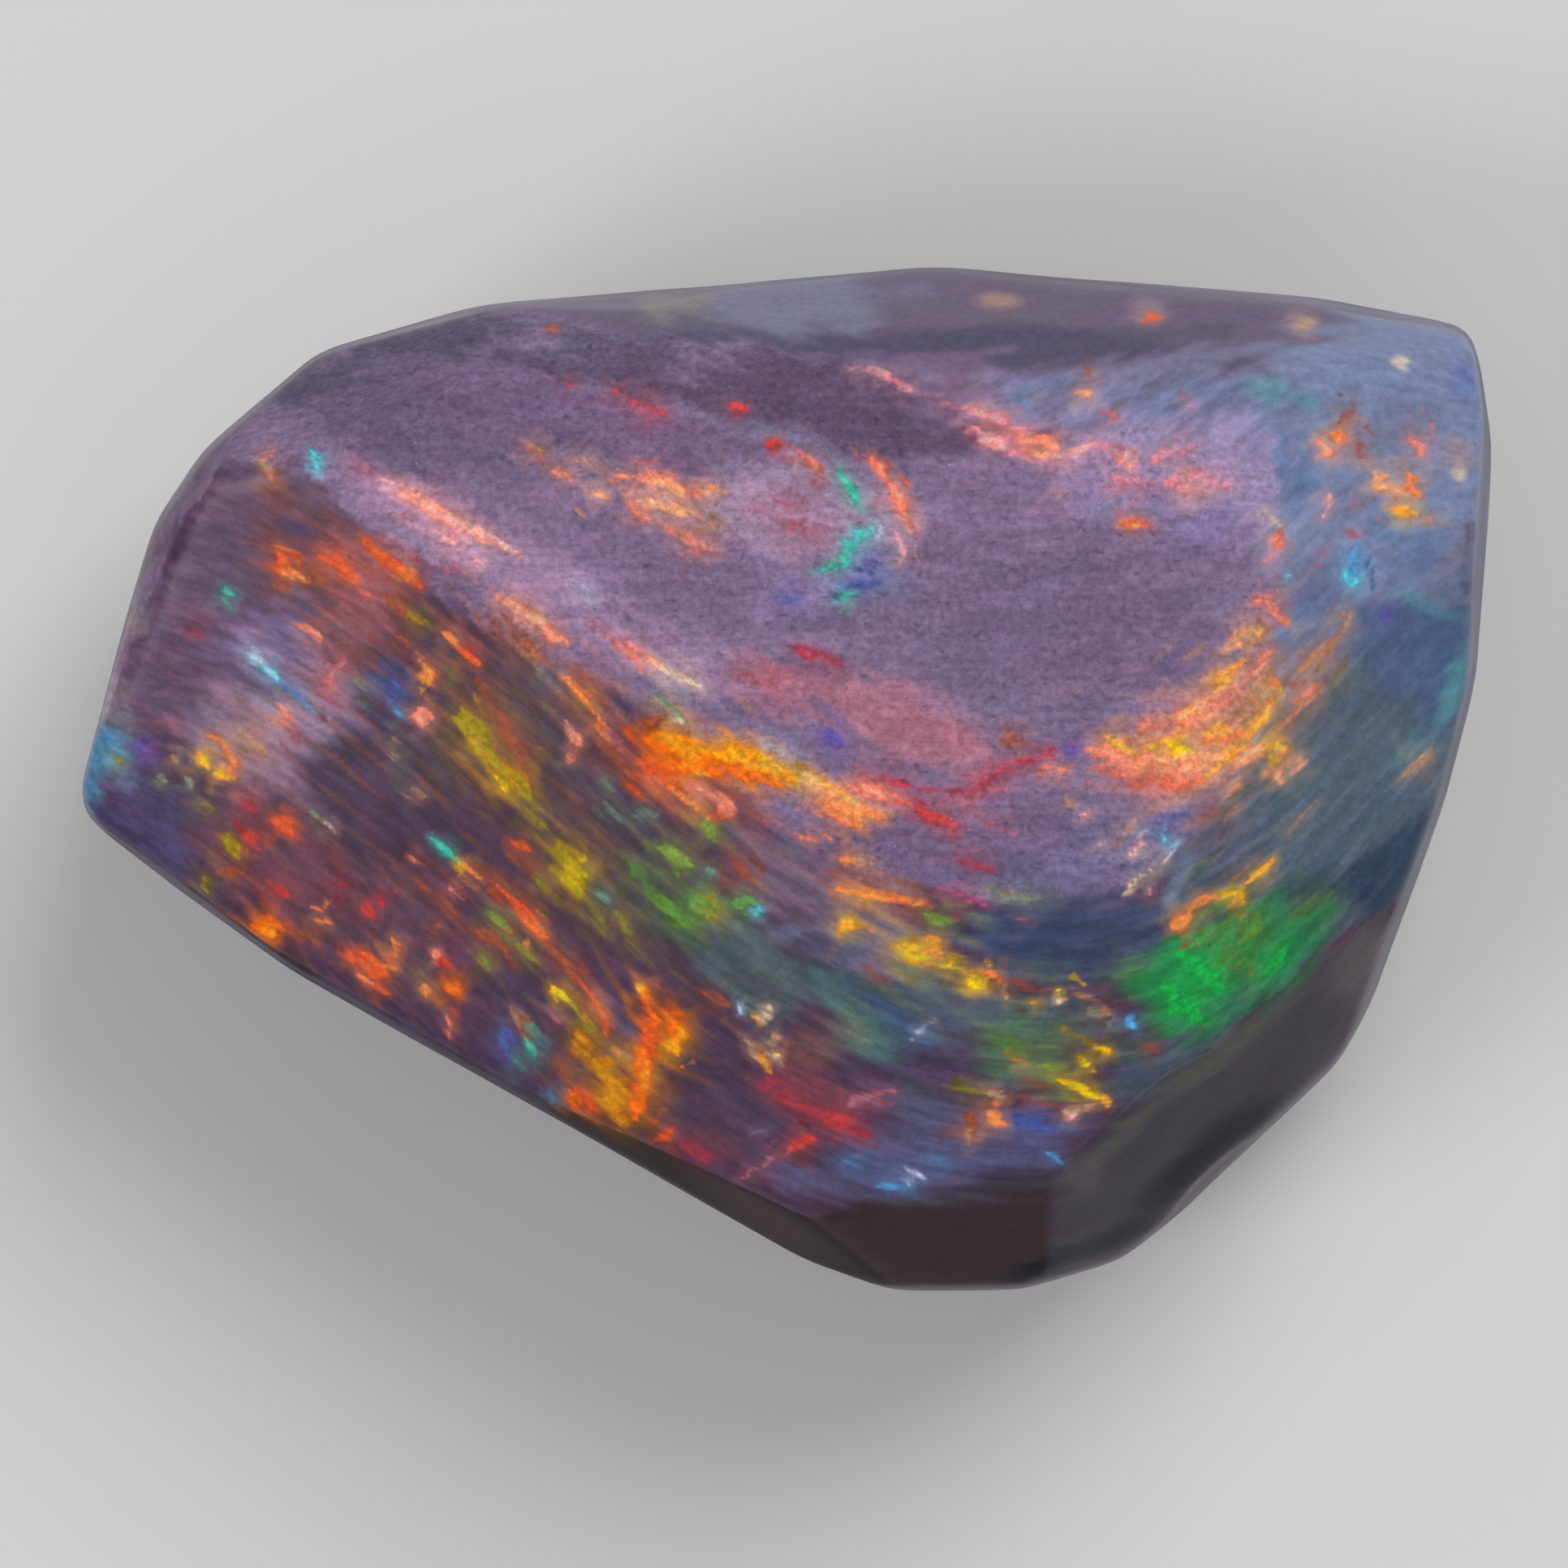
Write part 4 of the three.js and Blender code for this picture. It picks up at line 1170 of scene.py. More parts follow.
blush 1 0.05 4.3 -5.05 4.35 -5.1
olive 0.8 0.09 2.55 -4.65 3 -4.75
tan 0.8 0.06 2.95 -4.7 3.35 -4.8
orange 0.9 0.16 3.05 -5.05 3.25 -5.2
rust 0.8 0.1 2.8 -5.1 2.85 -5.4
tan 0.7 0.07 2.75 -5.6 2.8 -5.3
blue 0.8 0.15 3.45 -5.15 4 -5.3
sky 0.7 0.07 3.95 -5.65 4.2 -5.8
sky 0.6 0.07 1.35 -6.15 1.75 -6.15 2.05 -6.15
sky 0.5 0.11 0.9 -5.8 1.15 -5.7
ice 0.9 0.05 1.85 -6.1 1.9 -6.15
sky 0.6 0.09 2.2 -5.7 2.45 -5.85
ice 0.4 0.05 1.85 -3.95 2.1 -3.7 2.25 -3.6
sky 0.4 0.09 2.05 -3.85 2.2 -4
mint 0.6 0.22 0.95 -3.55 1.25 -4.05
leaf 0.5 0.25 3.05 -3.85 3.6 -4.05
lime 0.6 0.16 3.8 -4.3 4.2 -4.35
green 0.5 0.17 4.9 -2.95 5.4 -2.8
sky 0.9 0.11 5.2 -3.55 5.25 -3.75
rust 0.6 0.09 5.4 -4.05 5.6 -4.1
# red by the front
crimson 0.6 0.17 -0.4 -4.65 -0.1 -4.55
crimson 0.7 0.17 -0.05 -4.75 0.4 -5 0.8 -5.15
red 0.7 0.12 0.65 -5.15 1 -5.15
rose 0.8 0.11 0.95 -4.9 1.25 -4.8 1.6 -4.7
crimson 0.7 0.1 1 -5.25 1.25 -5.4
red 0.9 0.12 0.05 -5.6 0.4 -5.45
rose 0.7 0.06 -0.75 -6.1 -0.25 -5.8 0.1 -5.6
crimson 0.4 0.2 -1.6 -5.55 -1.05 -5.7
ember 0.7 0.12 -2 -5.5 -1.75 -5.35
cream 0.8 0.05 -0.4 -3.6 -0.25 -3.55
amber 0.6 0.06 -0.5 -3.6 -0.35 -3.65
cream 0.6 0.05 -0.3 -3.4 -0.25 -3.5
ice 0.9 0.05 -0.75 -3.45 -0.7 -3.5
tan 0.8 0.07 -0.6 -3.95 -0.45 -4.2
amber 1 0.07 -0.15 -4.15 -0.1 -4.2
cream 0.8 0.04 -0.15 -4.15 -0.1 -4.2
tan 0.8 0.09 -0.25 -3.9 -0.1 -3.95
rust 0.6 0.09 -1.25 -3.2 -0.95 -3.4
lilac 0.6 0.05 -0.55 -5.4 -0.25 -5.3
# the yellow and orange column
hot_amber 1 0.11 -1.85 -3.95 -1.7 -4.2
hot_orange 0.9 0.11 -2.2 -4.05 -2.25 -4.35
hot_orange 1 0.12 -1.75 -3.55 -1.65 -3.75
mustard 1 0.22 -3.45 -1 -3.25 -1.3 -3.15 -1.75
yellow 0.9 0.16 -3.3 -1.2 -3.2 -1.6
olive 0.6 0.17 -3 -1.85 -2.75 -2.35
mint 0.6 0.09 -2.9 -1.65 -2.7 -1.85
olive 0.6 0.1 -2.55 -2 -2.35 -2.35
olive 0.5 0.1 -2.4 -2.45 -2.3 -2.65
ember 1 0.11 -4.4 -1.6 -4.05 -1.95 -3.7 -2.4
orange 0.9 0.06 -3.95 -2.1 -3.65 -2.4
rust 0.6 0.1 -4.7 -1.4 -4.3 -1.65
rust 0.8 0.1 -3.7 -2.45 -3.3 -2.85 -3.1 -3.1
ember 0.85 0.07 -3.15 -3 -2.85 -3.45 -2.7 -3.85
orange 0.9 0.06 -2.95 -3.25 -2.75 -3.65
rust 0.9 0.1 -4.85 -2.25 -4.55 -2.35 -4.35 -2.55 -4.1 -2.85
lime 0.9 0.11 -4.55 -2 -4.35 -2.15 -4.2 -2.3
olive 0.8 0.11 -4.7 -2.7 -4.5 -2.9
olive 0.8 0.11 -4.1 -2.5 -3.8 -2.8
yellow 0.9 0.11 -3.55 -3.2 -3.3 -3.35
mustard 0.9 0.1 -3.25 -3.35 -3.05 -3.7 -2.85 -3.95
tan 0.5 0.1 -4.15 -3.5 -4.05 -3.75
olive 0.7 0.1 -3.75 -1.5 -3.6 -1.85
honey 0.8 0.15 -3.2 -3.9 -3 -4.2
hot_orange 0.85 0.17 -2.15 -3.2 -2 -3.7
ember 0.9 0.22 -2.1 -3.8 -2.05 -4.1
hot_orange 1 0.15 -1.8 -3.55 -1.65 -3.9
hot_amber 1 0.11 -1.8 -4.1 -1.6 -3.9 -1.6 -3.75
amber 0.8 0.1 -2.25 -3.1 -2.1 -3.3
hot_orange 1 0.16 -2.15 -4.3 -2.2 -4.75 -2.3 -5.15
amber 1 0.09 -2.15 -4.35 -2.15 -4.7
honey 0.8 0.3 -2.75 -4.3 -2.65 -4.8 -2.5 -5.25
honey 1 0.11 -2.9 -4.25 -2.85 -4.45
hot_amber 1 0.14 -2.7 -4.75 -2.6 -5.05
hot_orange 0.8 0.09 -3.35 -4.75 -3.15 -4.95
rust 0.8 0.06 -3.45 -4.9 -3.25 -5
ember 0.8 0.11 -3.05 -4.8 -2.9 -5.1
gold 0.6 0.11 -2.6 -4.05 -2.4 -4.35
blue 0.7 0.14 -4.3 -3.8 -4.25 -4.25
teal 0.7 0.12 -3.95 -3.95 -3.8 -4.25
teal 0.4 0.11 -4.15 -4.35 -3.95 -4.45
sky 0.6 0.1 -3.6 -4.7 -3.55 -4.95
rust 0.6 0.09 -4.05 -3.65 -3.95 -3.9
rose 0.5 0.1 -3.6 -3.55 -3.4 -3.7
rust 0.5 0.1 -3.5 -4.3 -3.3 -4.6
# green beside it
mustard 0.5 0.17 -1.45 -1.85 -0.9 -2.05
honey 0.7 0.17 -4.25 0.25 -3.9 -0.15
lime 1 0.14 -1.9 -1 -1.65 -1.15 -1.45 -1.3
leaf 0.8 0.17 -2.4 -1.25 -2.15 -1.45
leaf 0.9 0.19 -2.05 -1.75 -1.8 -1.9 -1.55 -2.15
green 0.9 0.15 -1.5 -1.85 -1.05 -1.95
mustard 0.7 0.1 -1.25 -1.8 -1.05 -1.9
green 1 0.12 -0.8 -1.85 -0.5 -1.85
cyan 0.7 0.07 -0.45 -1.95 -0.35 -2.05
leaf 0.6 0.15 -1.7 -2.2 -1.3 -2.15
mint 0.7 0.07 -1.25 -1.35 -1.05 -1.4
mint 0.6 0.12 -2.35 -0.5 -1.95 -0.55
mint 0.5 0.1 -2.75 -0.3 -2.5 -0.65
mint 0.4 0.1 -2.75 0.1 -2.6 -0.15
# left window
salmon 0.5 0.1 -7.95 4.95 -7.75 4.9
rose 0.6 0.15 -2.7 0.75 -2.3 0.3
ember 1 0.14 -7.65 3.45 -7.6 3.15
orange 0.9 0.09 -7.6 3.2 -7.3 3.05
rust 0.6 0.12 -7.8 3 -7.5 2.9
ember 1 0.1 -7.05 3.4 -6.75 3.3 -6.5 3
rust 0.7 0.12 -7.2 3.15 -6.95 3
coral 0.7 0.11 -6.6 3.1 -6.25 2.75
rose 0.7 0.17 -6.45 3.15 -6.1 2.7
ember 1 0.1 -6.35 3.6 -5.95 3.25 -5.5 2.9
amber 0.8 0.05 -5.85 3.2 -5.65 3
rust 0.8 0.09 -6.05 2.75 -5.7 2.5
mustard 0.8 0.09 -5.7 2.5 -5.35 2.3
orange 0.9 0.1 -5.2 2.25 -4.95 2.05
ember 0.9 0.09 -4.95 2 -4.65 1.75
orange 1 0.1 -5.55 1.75 -5.35 1.45
amber 0.9 0.05 -5.45 1.65 -5.4 1.5
rust 0.6 0.12 -5.9 2.2 -5.65 1.95
tan 0.7 0.1 -7.9 4.8 -7.75 4.55
rust 0.5 0.12 -7.8 4.65 -7.55 4.4
teal 0.7 0.1 -8.5 2.9 -8.45 2.65
crimson 0.6 0.11 -9.05 2.35 -8.9 2.2
salmon 0.8 0.07 -7.4 2.35 -7.15 2.25 -7.05 2.1
rose 0.5 0.11 -6.6 2.35 -6.45 2.15
rose 0.8 0.12 -6.65 1.9 -6.95 1.55 -7.1 1.3 -6.85 1.15
salmon 0.7 0.06 -6.75 1.8 -7 1.35
ice 0.7 0.09 -8.25 2.15 -8 1.85 -7.8 1.6
cyan 0.7 0.06 -7.9 1.75 -7.75 1.55
sky 0.6 0.11 -7.75 1.5 -7.4 1.25 -7.15 1
sage 0.6 0.12 -6.5 1.5 -6.35 1.2
blue 0.6 0.16 -6 1.65 -5.9 1.2
sky 0.8 0.1 -5.95 1.05 -5.8 1
salmon 1 0.12 -5.6 1 -5.35 0.9
salmon 0.9 0.11 -7.7 1.15 -7.55 0.85
rose 0.8 0.09 -7.6 0.9 -7.4 0.55
blush 0.7 0.05 -7.7 1.1 -7.6 1
orange 0.9 0.07 -8.85 0.65 -8.6 0.55 -8.45 0.3 -8.5 0.05
amber 1 0.09 -9 0.4 -8.85 0.2
amber 1 0.07 -8.8 0.1 -8.6 0
yellow 1 0.05 -8.95 0.35 -8.85 0.25
yellow 0.9 0.05 -8.7 0.15 -8.6 0.1
tan 0.7 0.22 -8.3 0.7 -8 0.45
rose 0.4 0.12 -9.45 0.9 -9.2 0.8
tan 0.7 0.07 -9.4 0.4 -9.3 0.3
sage 0.6 0.1 -9.65 0.05 -9.5 -0.05
sage 0.6 0.1 -9.2 0.05 -9.1 -0.1
olive 0.4 0.15 -9.05 -0.3 -8.8 -0.5
violet 0.8 0.1 -9.95 0.5 -9.8 0.45
olive 0.8 0.11 -10.3 0.35 -10.15 0.25
magenta 0.6 0.06 -9.8 0.45 -9.75 0.4
mustard 0.9 0.12 -8.55 -0.85 -8.4 -1.15
red 0.7 0.11 -8.3 -0.8 -8.1 -1.05
crimson 0.6 0.1 -8.25 -0.35 -8.15 -0.5
ember 1 0.12 -7.85 -0.6 -7.6 -0.75
ember 0.8 0.1 -7.7 -0.55 -7.5 -0.8
sage 0.5 0.06 -7.25 -0.45 -7.1 -0.6
cream 0.6 0.05 -7.05 -0.6 -6.85 -0.8
tan 0.6 0.07 -5.7 -0.15 -5.5 -0.3
tan 0.4 0.15 -5.95 0.7 -5.95 0.3
# lower left edge
hot_orange 0.8 0.15 -8.15 -2.35 -7.95 -2.25
hot_orange 1 0.15 -5.25 -3.2 -5 -3.15
rust 0.6 0.17 -7.65 -2.35 -7.25 -2.35
rust 0.7 0.1 -8.75 -1.4 -8.3 -1.45
olive 0.8 0.08 -8.95 -1.5 -8.9 -1.75
red 0.63 0.1 -8 -1.6 -7.75 -1.7 -7.6 -1.8
hot_orange 1 0.16 -8.2 -2.25 -7.75 -2.3
amber 1 0.09 -8.1 -2.25 -7.85 -2.35
rust 0.8 0.09 -8.8 -2.1 -8.5 -2.25
orange 0.8 0.09 -7.25 -2.15 -7 -2.2
crimson 0.56 0.07 -6.85 -1.2 -6.8 -1.5 -6.85 -1.8
red 0.56 0.1 -6.5 -1.9 -6.3 -2.05
red 0.56 0.07 -6.2 -1.7 -6.15 -2
salmon 0.6 0.04 -5.75 -1.1 -5.6 -1.25
rust 0.5 0.06 -5.7 -1.5 -5.4 -1.75
rust 0.6 0.06 -5.3 -1.75 -5.05 -2.05
salmon 0.6 0.06 -5.15 -1.6 -5.05 -1.7
rust 0.5 0.07 -5.4 -2.2 -5.25 -2.35
ember 0.9 0.1 -6.75 -2.6 -6.55 -2.8
ember 1 0.09 -6.5 -2.65 -6.3 -2.9 -6.1 -3.05
orange 0.9 0.09 -6.05 -2.4 -5.95 -2.7
orange 0.9 0.08 -6.2 -2.85 -5.95 -2.85
orange 0.8 0.07 -6.6 -3 -6.35 -3.1
ember 0.7 0.09 -6.35 -3.15 -6.1 -3.25
salmon 1 0.06 -5.4 -2.65 -5.3 -2.7
red 0.56 0.07 -5.3 -2.75 -5.1 -2.9
hot_orange 1 0.11 -5.2 -3.15 -5.05 -3.25
olive 0.6 0.09 -5.7 -2.9 -5.5 -3.05
orange 0.7 0.08 -5.55 -3.15 -5.45 -3.3
salmon 0.6 0.07 -5.15 -3.6 -5.15 -3.95
teal 1 0.04 -5.4 -0.85 -5.15 -1.05 -4.95 -1.25
yellow 0.8 0.04 -5 -1.2 -4.9 -1.35
orange 0.9 0.07 -5 -1.25 -4.65 -1.5
# the brown wedge under the ridge
tan 0.5 0.14 -4.15 2.1 -3.75 1.85
mustard 1 0.25 -4.9 0.95 -4.65 0.6 -4.4 0.2
mustard 1 0.19 -4.25 0.1 -3.9 -0.2
amber 0.8 0.09 -4.8 0.7 -4.5 0.3
amber 0.7 0.07 -4.55 0.15 -4.35 0
yellow 0.8 0.09 -4.4 0.1 -4.2 -0.2
olive 0.6 0.21 -3.85 -0.35 -3.7 -0.7
rust 0.7 0.14 -4.35 1 -4.1 0.5 -3.9 0.15
rust 0.5 0.14 -4.65 1.5 -4.35 1.1
rust 0.7 0.07 -4.55 2.55 -4.25 2.15 -3.85 1.8
rust 0.6 0.09 -4.2 2.4 -3.85 1.95 -3.5 1.7
rust 0.4 0.12 -3.3 1.8 -2.55 1.35
orange 0.9 0.11 -3.3 1.55 -3.05 1.25 -2.85 0.95
amber 0.8 0.06 -3.15 1.35 -2.9 1.1
orange 0.7 0.1 -2.85 1 -2.7 0.65
rust 0.8 0.11 -2.75 0.75 -2.5 0.3 -2.3 0
salmon 0.9 0.09 -3.2 0.7 -3.1 0.55
salmon 0.7 0.07 -3.3 0.4 -3.2 0.25
sage 0.4 0.1 -3.8 1.75 -3.5 1.35
ember 1 0.1 -4.15 -0.95 -3.95 -1.05
rust 0.6 0.11 -4 -1.15 -3.75 -1.35
# right windows
salmon 1 0.11 8.05 5.1 8.25 4.9
cream 0.7 0.05 8.05 5.1 8.2 5
orange 0.8 0.14 8.3 5.2 8.5 5.1
rust 0.6 0.12 8.4 5.4 8.6 5.7
rust 0.5 0.1 8.6 5.1 8.85 4.85
apricot 0.7 0.12 8.85 4.65 9.15 4.4
apricot 0.7 0.1 9.05 4.45 9.4 4.35
orange 0.8 0.11 9.4 4.65 9.6 4.3
amber 0.9 0.1 9.15 4.1 9.6 4.05
tan 0.6 0.06 9.6 3.95 10.1 3.9
salmon 0.7 0.11 9.5 5.25 9.7 4.9
blush 0.6 0.07 8.2 4.35 8.1 3.95
rose 0.4 0.1 8.6 4.25 8.65 4.1
rose 0.7 0.07 8.5 3.75 8.7 3.7
rose 0.5 0.07 8 3.45 8.2 3.35
cyan 1 0.11 8.5 3.05 8.6 2.95
sky 0.9 0.19 8.6 3.45 8.55 3.1
violet 0.8 0.11 9 2.55 9.1 2.4
tan 0.7 0.16 9.45 0.1 9.8 0.4
tan 0.5 0.05 7.5 -0.85 7.8 -0.55 8.1 -0.3
# green in front on the right
orange 1 0.12 5.8 -2.2 6.1 -2.05
orange 0.9 0.1 6.1 -1.95 6.4 -1.75
gold 1 0.1 6.5 -1.75 6.95 -1.85
yellow 1 0.07 6.6 -1.75 6.9 -1.75
amber 1 0.07 6.95 -1.6 7.2 -1.4 7.4 -1.2
emerald 0.9 0.3 5.75 -3.15 6.2 -3.55
emerald 1 0.22 5.95 -2.6 6.4 -3
emerald 1 0.17 6.25 -2.9 6.6 -3.15
leaf 0.8 0.25 6.9 -2.35 7.15 -2.1
emerald 0.9 0.17 7.25 -2.95 7.6 -2.6
leaf 0.6 0.22 6.65 -2.55 7.05 -2.95
leaf 0.5 0.17 7.75 -1.95 8.3 -1.7
green 0.6 0.2 6.15 -2.45 6.5 -2.3
"""

# %% [markdown]
# Each flash is widest in the middle and tapers to its ends. Round it lies a faint halo of its hue,
# because some of its light is scattered in the milky body. A mesh strip for every flash would lie
# on the stone like a sticker, so the flashes are laid into the skin.

# %% Laying a flash on the skin
# shares of the half width in the list, but for the strength of the halo and THINNEST in mm
TAPER = 0.55
FELT_OUT_TO = 2.6
SLIMMER = 0.76
HALO_REACH, HALO_STRENGTH = 3.2, 0.32
THINNEST = 0.045

is_top_vertex = np.flatnonzero(top > 0.02)
top_places = slightly_pushed[is_top_vertex]
bare = np.ones(len(places))
hue_sum = np.zeros((len(places), 3))
hue_weight = np.zeros(len(places))


def stroke(points, half_width):
    """Vertices near a line, and how near: 1 on the line and 0.5 at its half width."""
    reach = FELT_OUT_TO * half_width
    close = np.all(
        (top_places[:, :2] > np.min(points, axis=0) - reach)
        & (top_places[:, :2] < np.max(points, axis=0) + reach),
        axis=1,
    )
    members = is_top_vertex[close]
    spots = slightly_pushed[members]
    nearness = np.zeros(len(members))
    pieces = len(points) - 1
    for number in range(pieces):
        start, end = np.array(points[number]), np.array(points[number + 1])
        distance, share = line_distance(spots, start, end)
        along = (number + share) / pieces
        local = half_width * (1 - TAPER + TAPER * np.sin(math.pi * along))
        nearness = np.maximum(nearness, 0.5 ** ((distance / local) ** 2.2))
    return members, nearness


def lay_halo(hue, strength, half_width, points):
    members, nearness = stroke(points, half_width * HALO_REACH + 0.05)
    share = ramp(nearness + 0.10 * fine_push[members, 0], 0, 1) * strength * HALO_STRENGTH
    share = (share * (1 - too_steep[members]))[:, None]
    body[members] = body[members] * (1 - share) + colour(hue) * share


def lay_flash(shade, strength, half_width, points):
    """Flashes that overlap blend: the nearest one sets the hue, and together they cover more."""
    members, nearness = stroke(points, max(half_width, THINNEST))
    share = nearness * strength
    bare[members] *= 1 - share
    hue_sum[members] += (share**2)[:, None] * shade
    hue_weight[members] += share**2


# flashes fade out over the edge of a steep wall
NO_FLASH, FULL_FLASH = 0.14, 0.34
too_steep = np.maximum(lower_wall, 1 - ramp(looks[:, 2], NO_FLASH, FULL_FLASH))
strokes = [
    (hue, strength, SLIMMER * half_width, in_pairs(points))
    for hue, (strength, half_width, *points) in read_list(FLASHES)
]
for hue, strength, half_width, points in strokes:
    lay_halo(hue, strength, half_width, points)
print("halos:", len(strokes))

# %% [markdown]
# Every flash also has splinters: thin short slivers that lie beside it in the same direction, in
# nearly the same hue.

# %% Splinters beside every flash
SPLINTERS_PER_MM = 3.0
SPLINTER_WIDTH = 0.35
SPLINTER_TURN = 0.16


def splinters(hue, strength, half_width, points):
    ends = np.array(points)
    steps = np.diff(ends, axis=0)
    lengths = np.linalg.norm(steps, axis=1)
    for _ in range(1 + int(lengths.sum() * SPLINTERS_PER_MM)):
        number = rng.integers(len(steps))
        ahead = steps[number] / max(lengths[number], 1e-6)
        turn = rng.normal(0, SPLINTER_TURN)
        ahead = np.array([
            ahead[0] * math.cos(turn) - ahead[1] * math.sin(turn),
            ahead[0] * math.sin(turn) + ahead[1] * math.cos(turn),
        ])
        aside = np.array([-ahead[1], ahead[0]])
        middle = ends[number] + steps[number] * rng.uniform(-0.25, 1.25)
        middle = middle + aside * rng.normal(0, 1.6 * half_width + 0.05)
        half = ahead * rng.uniform(0.06, 0.22)
        shade = colour(hue) * rng.uniform(0.7, 1.0) * rng.uniform(0.9, 1.08, 3)
        weaker = strength * rng.uniform(0.3, 0.8)
        lay_flash(shade, weaker, half_width * SPLINTER_WIDTH, [middle - half, middle + half])


for hue, strength, half_width, points in strokes:
    splinters(hue, strength, half_width, points)
    lay_flash(colour(hue), strength, half_width, points)
flash = (hue_sum + 1e-4 * body) / (hue_weight + 1e-4)[:, None]
flash *= (1 + 0.08 * np.tanh(waves((0.3, 0.9), (0.10, 0.30))))[:, None]
near_flash = (1 - bare) * top * (1 - too_steep)
print("flashes:", len(strokes), "vertices near one:", int((near_flash > 0.3).sum()))

# %% [markdown]
# The colours and masks are kept on the vertices as named attributes, which the material can read.
# A painted image could hold them too, but it would need the stone unwrapped, with seams in the
# colour. How streaky the body is and how near a flash lies ride along as the fourth value of each.

# %% Keep it all on the mesh
def store_colour(mesh, name, shades, strength):
    layer = mesh.color_attributes.new(name, "FLOAT_COLOR", "POINT")
    values = np.column_stack([shades, strength]).astype(np.float32)
    layer.data.foreach_set("color", values.ravel())


def store_vector(mesh, name, values):
    layer = mesh.attributes.new(name, "FLOAT_VECTOR", "POINT")
    layer.data.foreach_set("vector", values.astype(np.float32).ravel())


# how much each of these quiets the streaks of the body
FROST_STILLNESS, HAZE_STILLNESS, BEVEL_STILLNESS = 0.75, 0.5, 0.85
hazy_right = ramp(places[:, 0], 6.6, 8.0) * ramp(places[:, 1], -3.0, -1.0)
streaky = top * (1 - FROST_STILLNESS * frost) * (1 - HAZE_STILLNESS * hazy_right)
streaky *= 1 - lower_wall
# faces that are steeper than every window are plain
for face, within, _ in FACE_TONES:
    if face[1] > LOW_RIGHT_WINDOW[1]:
        streaky *= 1 - BEVEL_STILLNESS * looking(looks, *face, within)
hidden_fire = (1 - top) * (1 - 0.85 * potch) * (1 - smooth_bevel)
masks = np.column_stack([frost, hidden_fire, dull])
store_colour(stone.data, "body", to_paint(body), streaky)
store_colour(stone.data, "flash", np.maximum(DARKEST, to_light(flash) - SHINE), near_flash)
store_vector(stone.data, "grain", grain)
store_vector(stone.data, "masks", masks)
print("layers on the mesh:", [a.name for a in stone.data.attributes if a.data_type.startswith("FLOAT")])

# %% [markdown]
# ## Node groups
#
# Three effects are built as groups, so that each can be read and tuned by itself. The first cuts
# fibres along the bent layers, the second gives the grain and scratches of the frosted ground and
# a few painted glints, and the third gives cells of changing hue for the sides, where the colour is
# anybody's guess.

# %% A small helper for wiring nodes
def new_group(name, inputs, outputs):
    group = bpy.data.node_groups.new(name, "ShaderNodeTree")
    for label, kind in inputs:
        group.interface.new_socket(label, in_out="INPUT", socket_type=kind)
    for label, kind in outputs:
        group.interface.new_socket(label, in_out="OUTPUT", socket_type=kind)
    return group


class Wiring:
    """Adds nodes to one tree. A value may be a number, a colour or another node's output."""

    def __init__(self, tree):
        self.tree = tree

    def node(self, kind, settings=None, **inputs):
        made = self.tree.nodes.new(kind)
        for key, value in (settings or {}).items():
            setattr(made, key, value)
        for key, value in inputs.items():
            self.feed(made.inputs[key.replace("_", " ")], value)
        return made

    def feed(self, socket, value):
        if isinstance(value, bpy.types.NodeSocket):
            self.tree.links.new(value, socket)
        else:
            socket.default_value = value

    def math(self, operation, first, second=0.0, third=0.0):
        made = self.node("ShaderNodeMath", {"operation": operation})
        for socket, value in zip(made.inputs, (first, second, third)):
            self.feed(socket, value)
        return made.outputs[0]

    def stretch(self, vector, scale, turn=(0, 0, 0)):
        made = self.node("ShaderNodeMapping", Vector=vector, Scale=scale, Rotation=turn)
        return made.outputs[0]

    def noise(self, vector, scale=1.0, detail=3.0, roughness=0.6):
        settings = {"Vector": vector, "Scale": scale, "Detail": detail, "Roughness": roughness}
        return self.node("ShaderNodeTexNoise", **settings).outputs["Fac"]

    def between(self, value, low_end, high_end, low_out=0.0, high_out=1.0):
        settings = {"interpolation_type": "SMOOTHSTEP"}
        made = self.node("ShaderNodeMapRange", settings, Value=value)
        for index, number in enumerate((low_end, high_end, low_out, high_out), start=1):
            self.feed(made.inputs[index], number)
        return made.outputs[0]

    def mix(self, share, first, second, blend="MIX"):
        made = self.node("ShaderNodeMix", {"data_type": "RGBA", "blend_type": blend})
        self.feed(made.inputs["Factor"], share)
        self.feed(made.inputs[6], first)
        self.feed(made.inputs[7], second)
        return made.outputs[2]

    def times(self, first, second):
        return self.mix(1.0, first, second, "MULTIPLY")

    def output(self, **values):
        made = self.tree.nodes.new("NodeGroupOutput")
        for key, value in values.items():
            self.feed(made.inputs[key.replace("_", " ")], value)

    def use(self, group, **inputs):
        made = self.tree.nodes.new("ShaderNodeGroup")
        made.node_tree = group
        for key, value in inputs.items():
            self.feed(made.inputs[key.replace("_", " ")], value)
        return made.outputs


# %% Fibres along the layers
def fibre_group():
    group = new_group(
        "layer fibres",
        [("Grain", "NodeSocketVector")],
        [(name, "NodeSocketFloat") for name in ("Coarse", "Strands", "Fine", "Patches")],
    )
    w = Wiring(group)
    grain_in = group.nodes.new("NodeGroupInput").outputs["Grain"]
    coarse = w.noise(w.stretch(grain_in, (1.3, 4.4, 3.5)), detail=4, roughness=0.62)
    strands = w.noise(w.stretch(grain_in, (1.6, 9.0, 6.0)), detail=2, roughness=0.55)
    fine = w.noise(w.stretch(grain_in, (4.5, 16.0, 10.0)), detail=2, roughness=0.55)
    patches = w.noise(w.stretch(grain_in, (0.7, 1.6, 1.2)), detail=3, roughness=0.6)
    w.output(Coarse=coarse, Strands=strands, Fine=fine, Patches=patches)
    return group


# %% Grit marks of the coarse wheel, and painted glints
WHEEL_TURN = (0, 0, math.radians(-11))


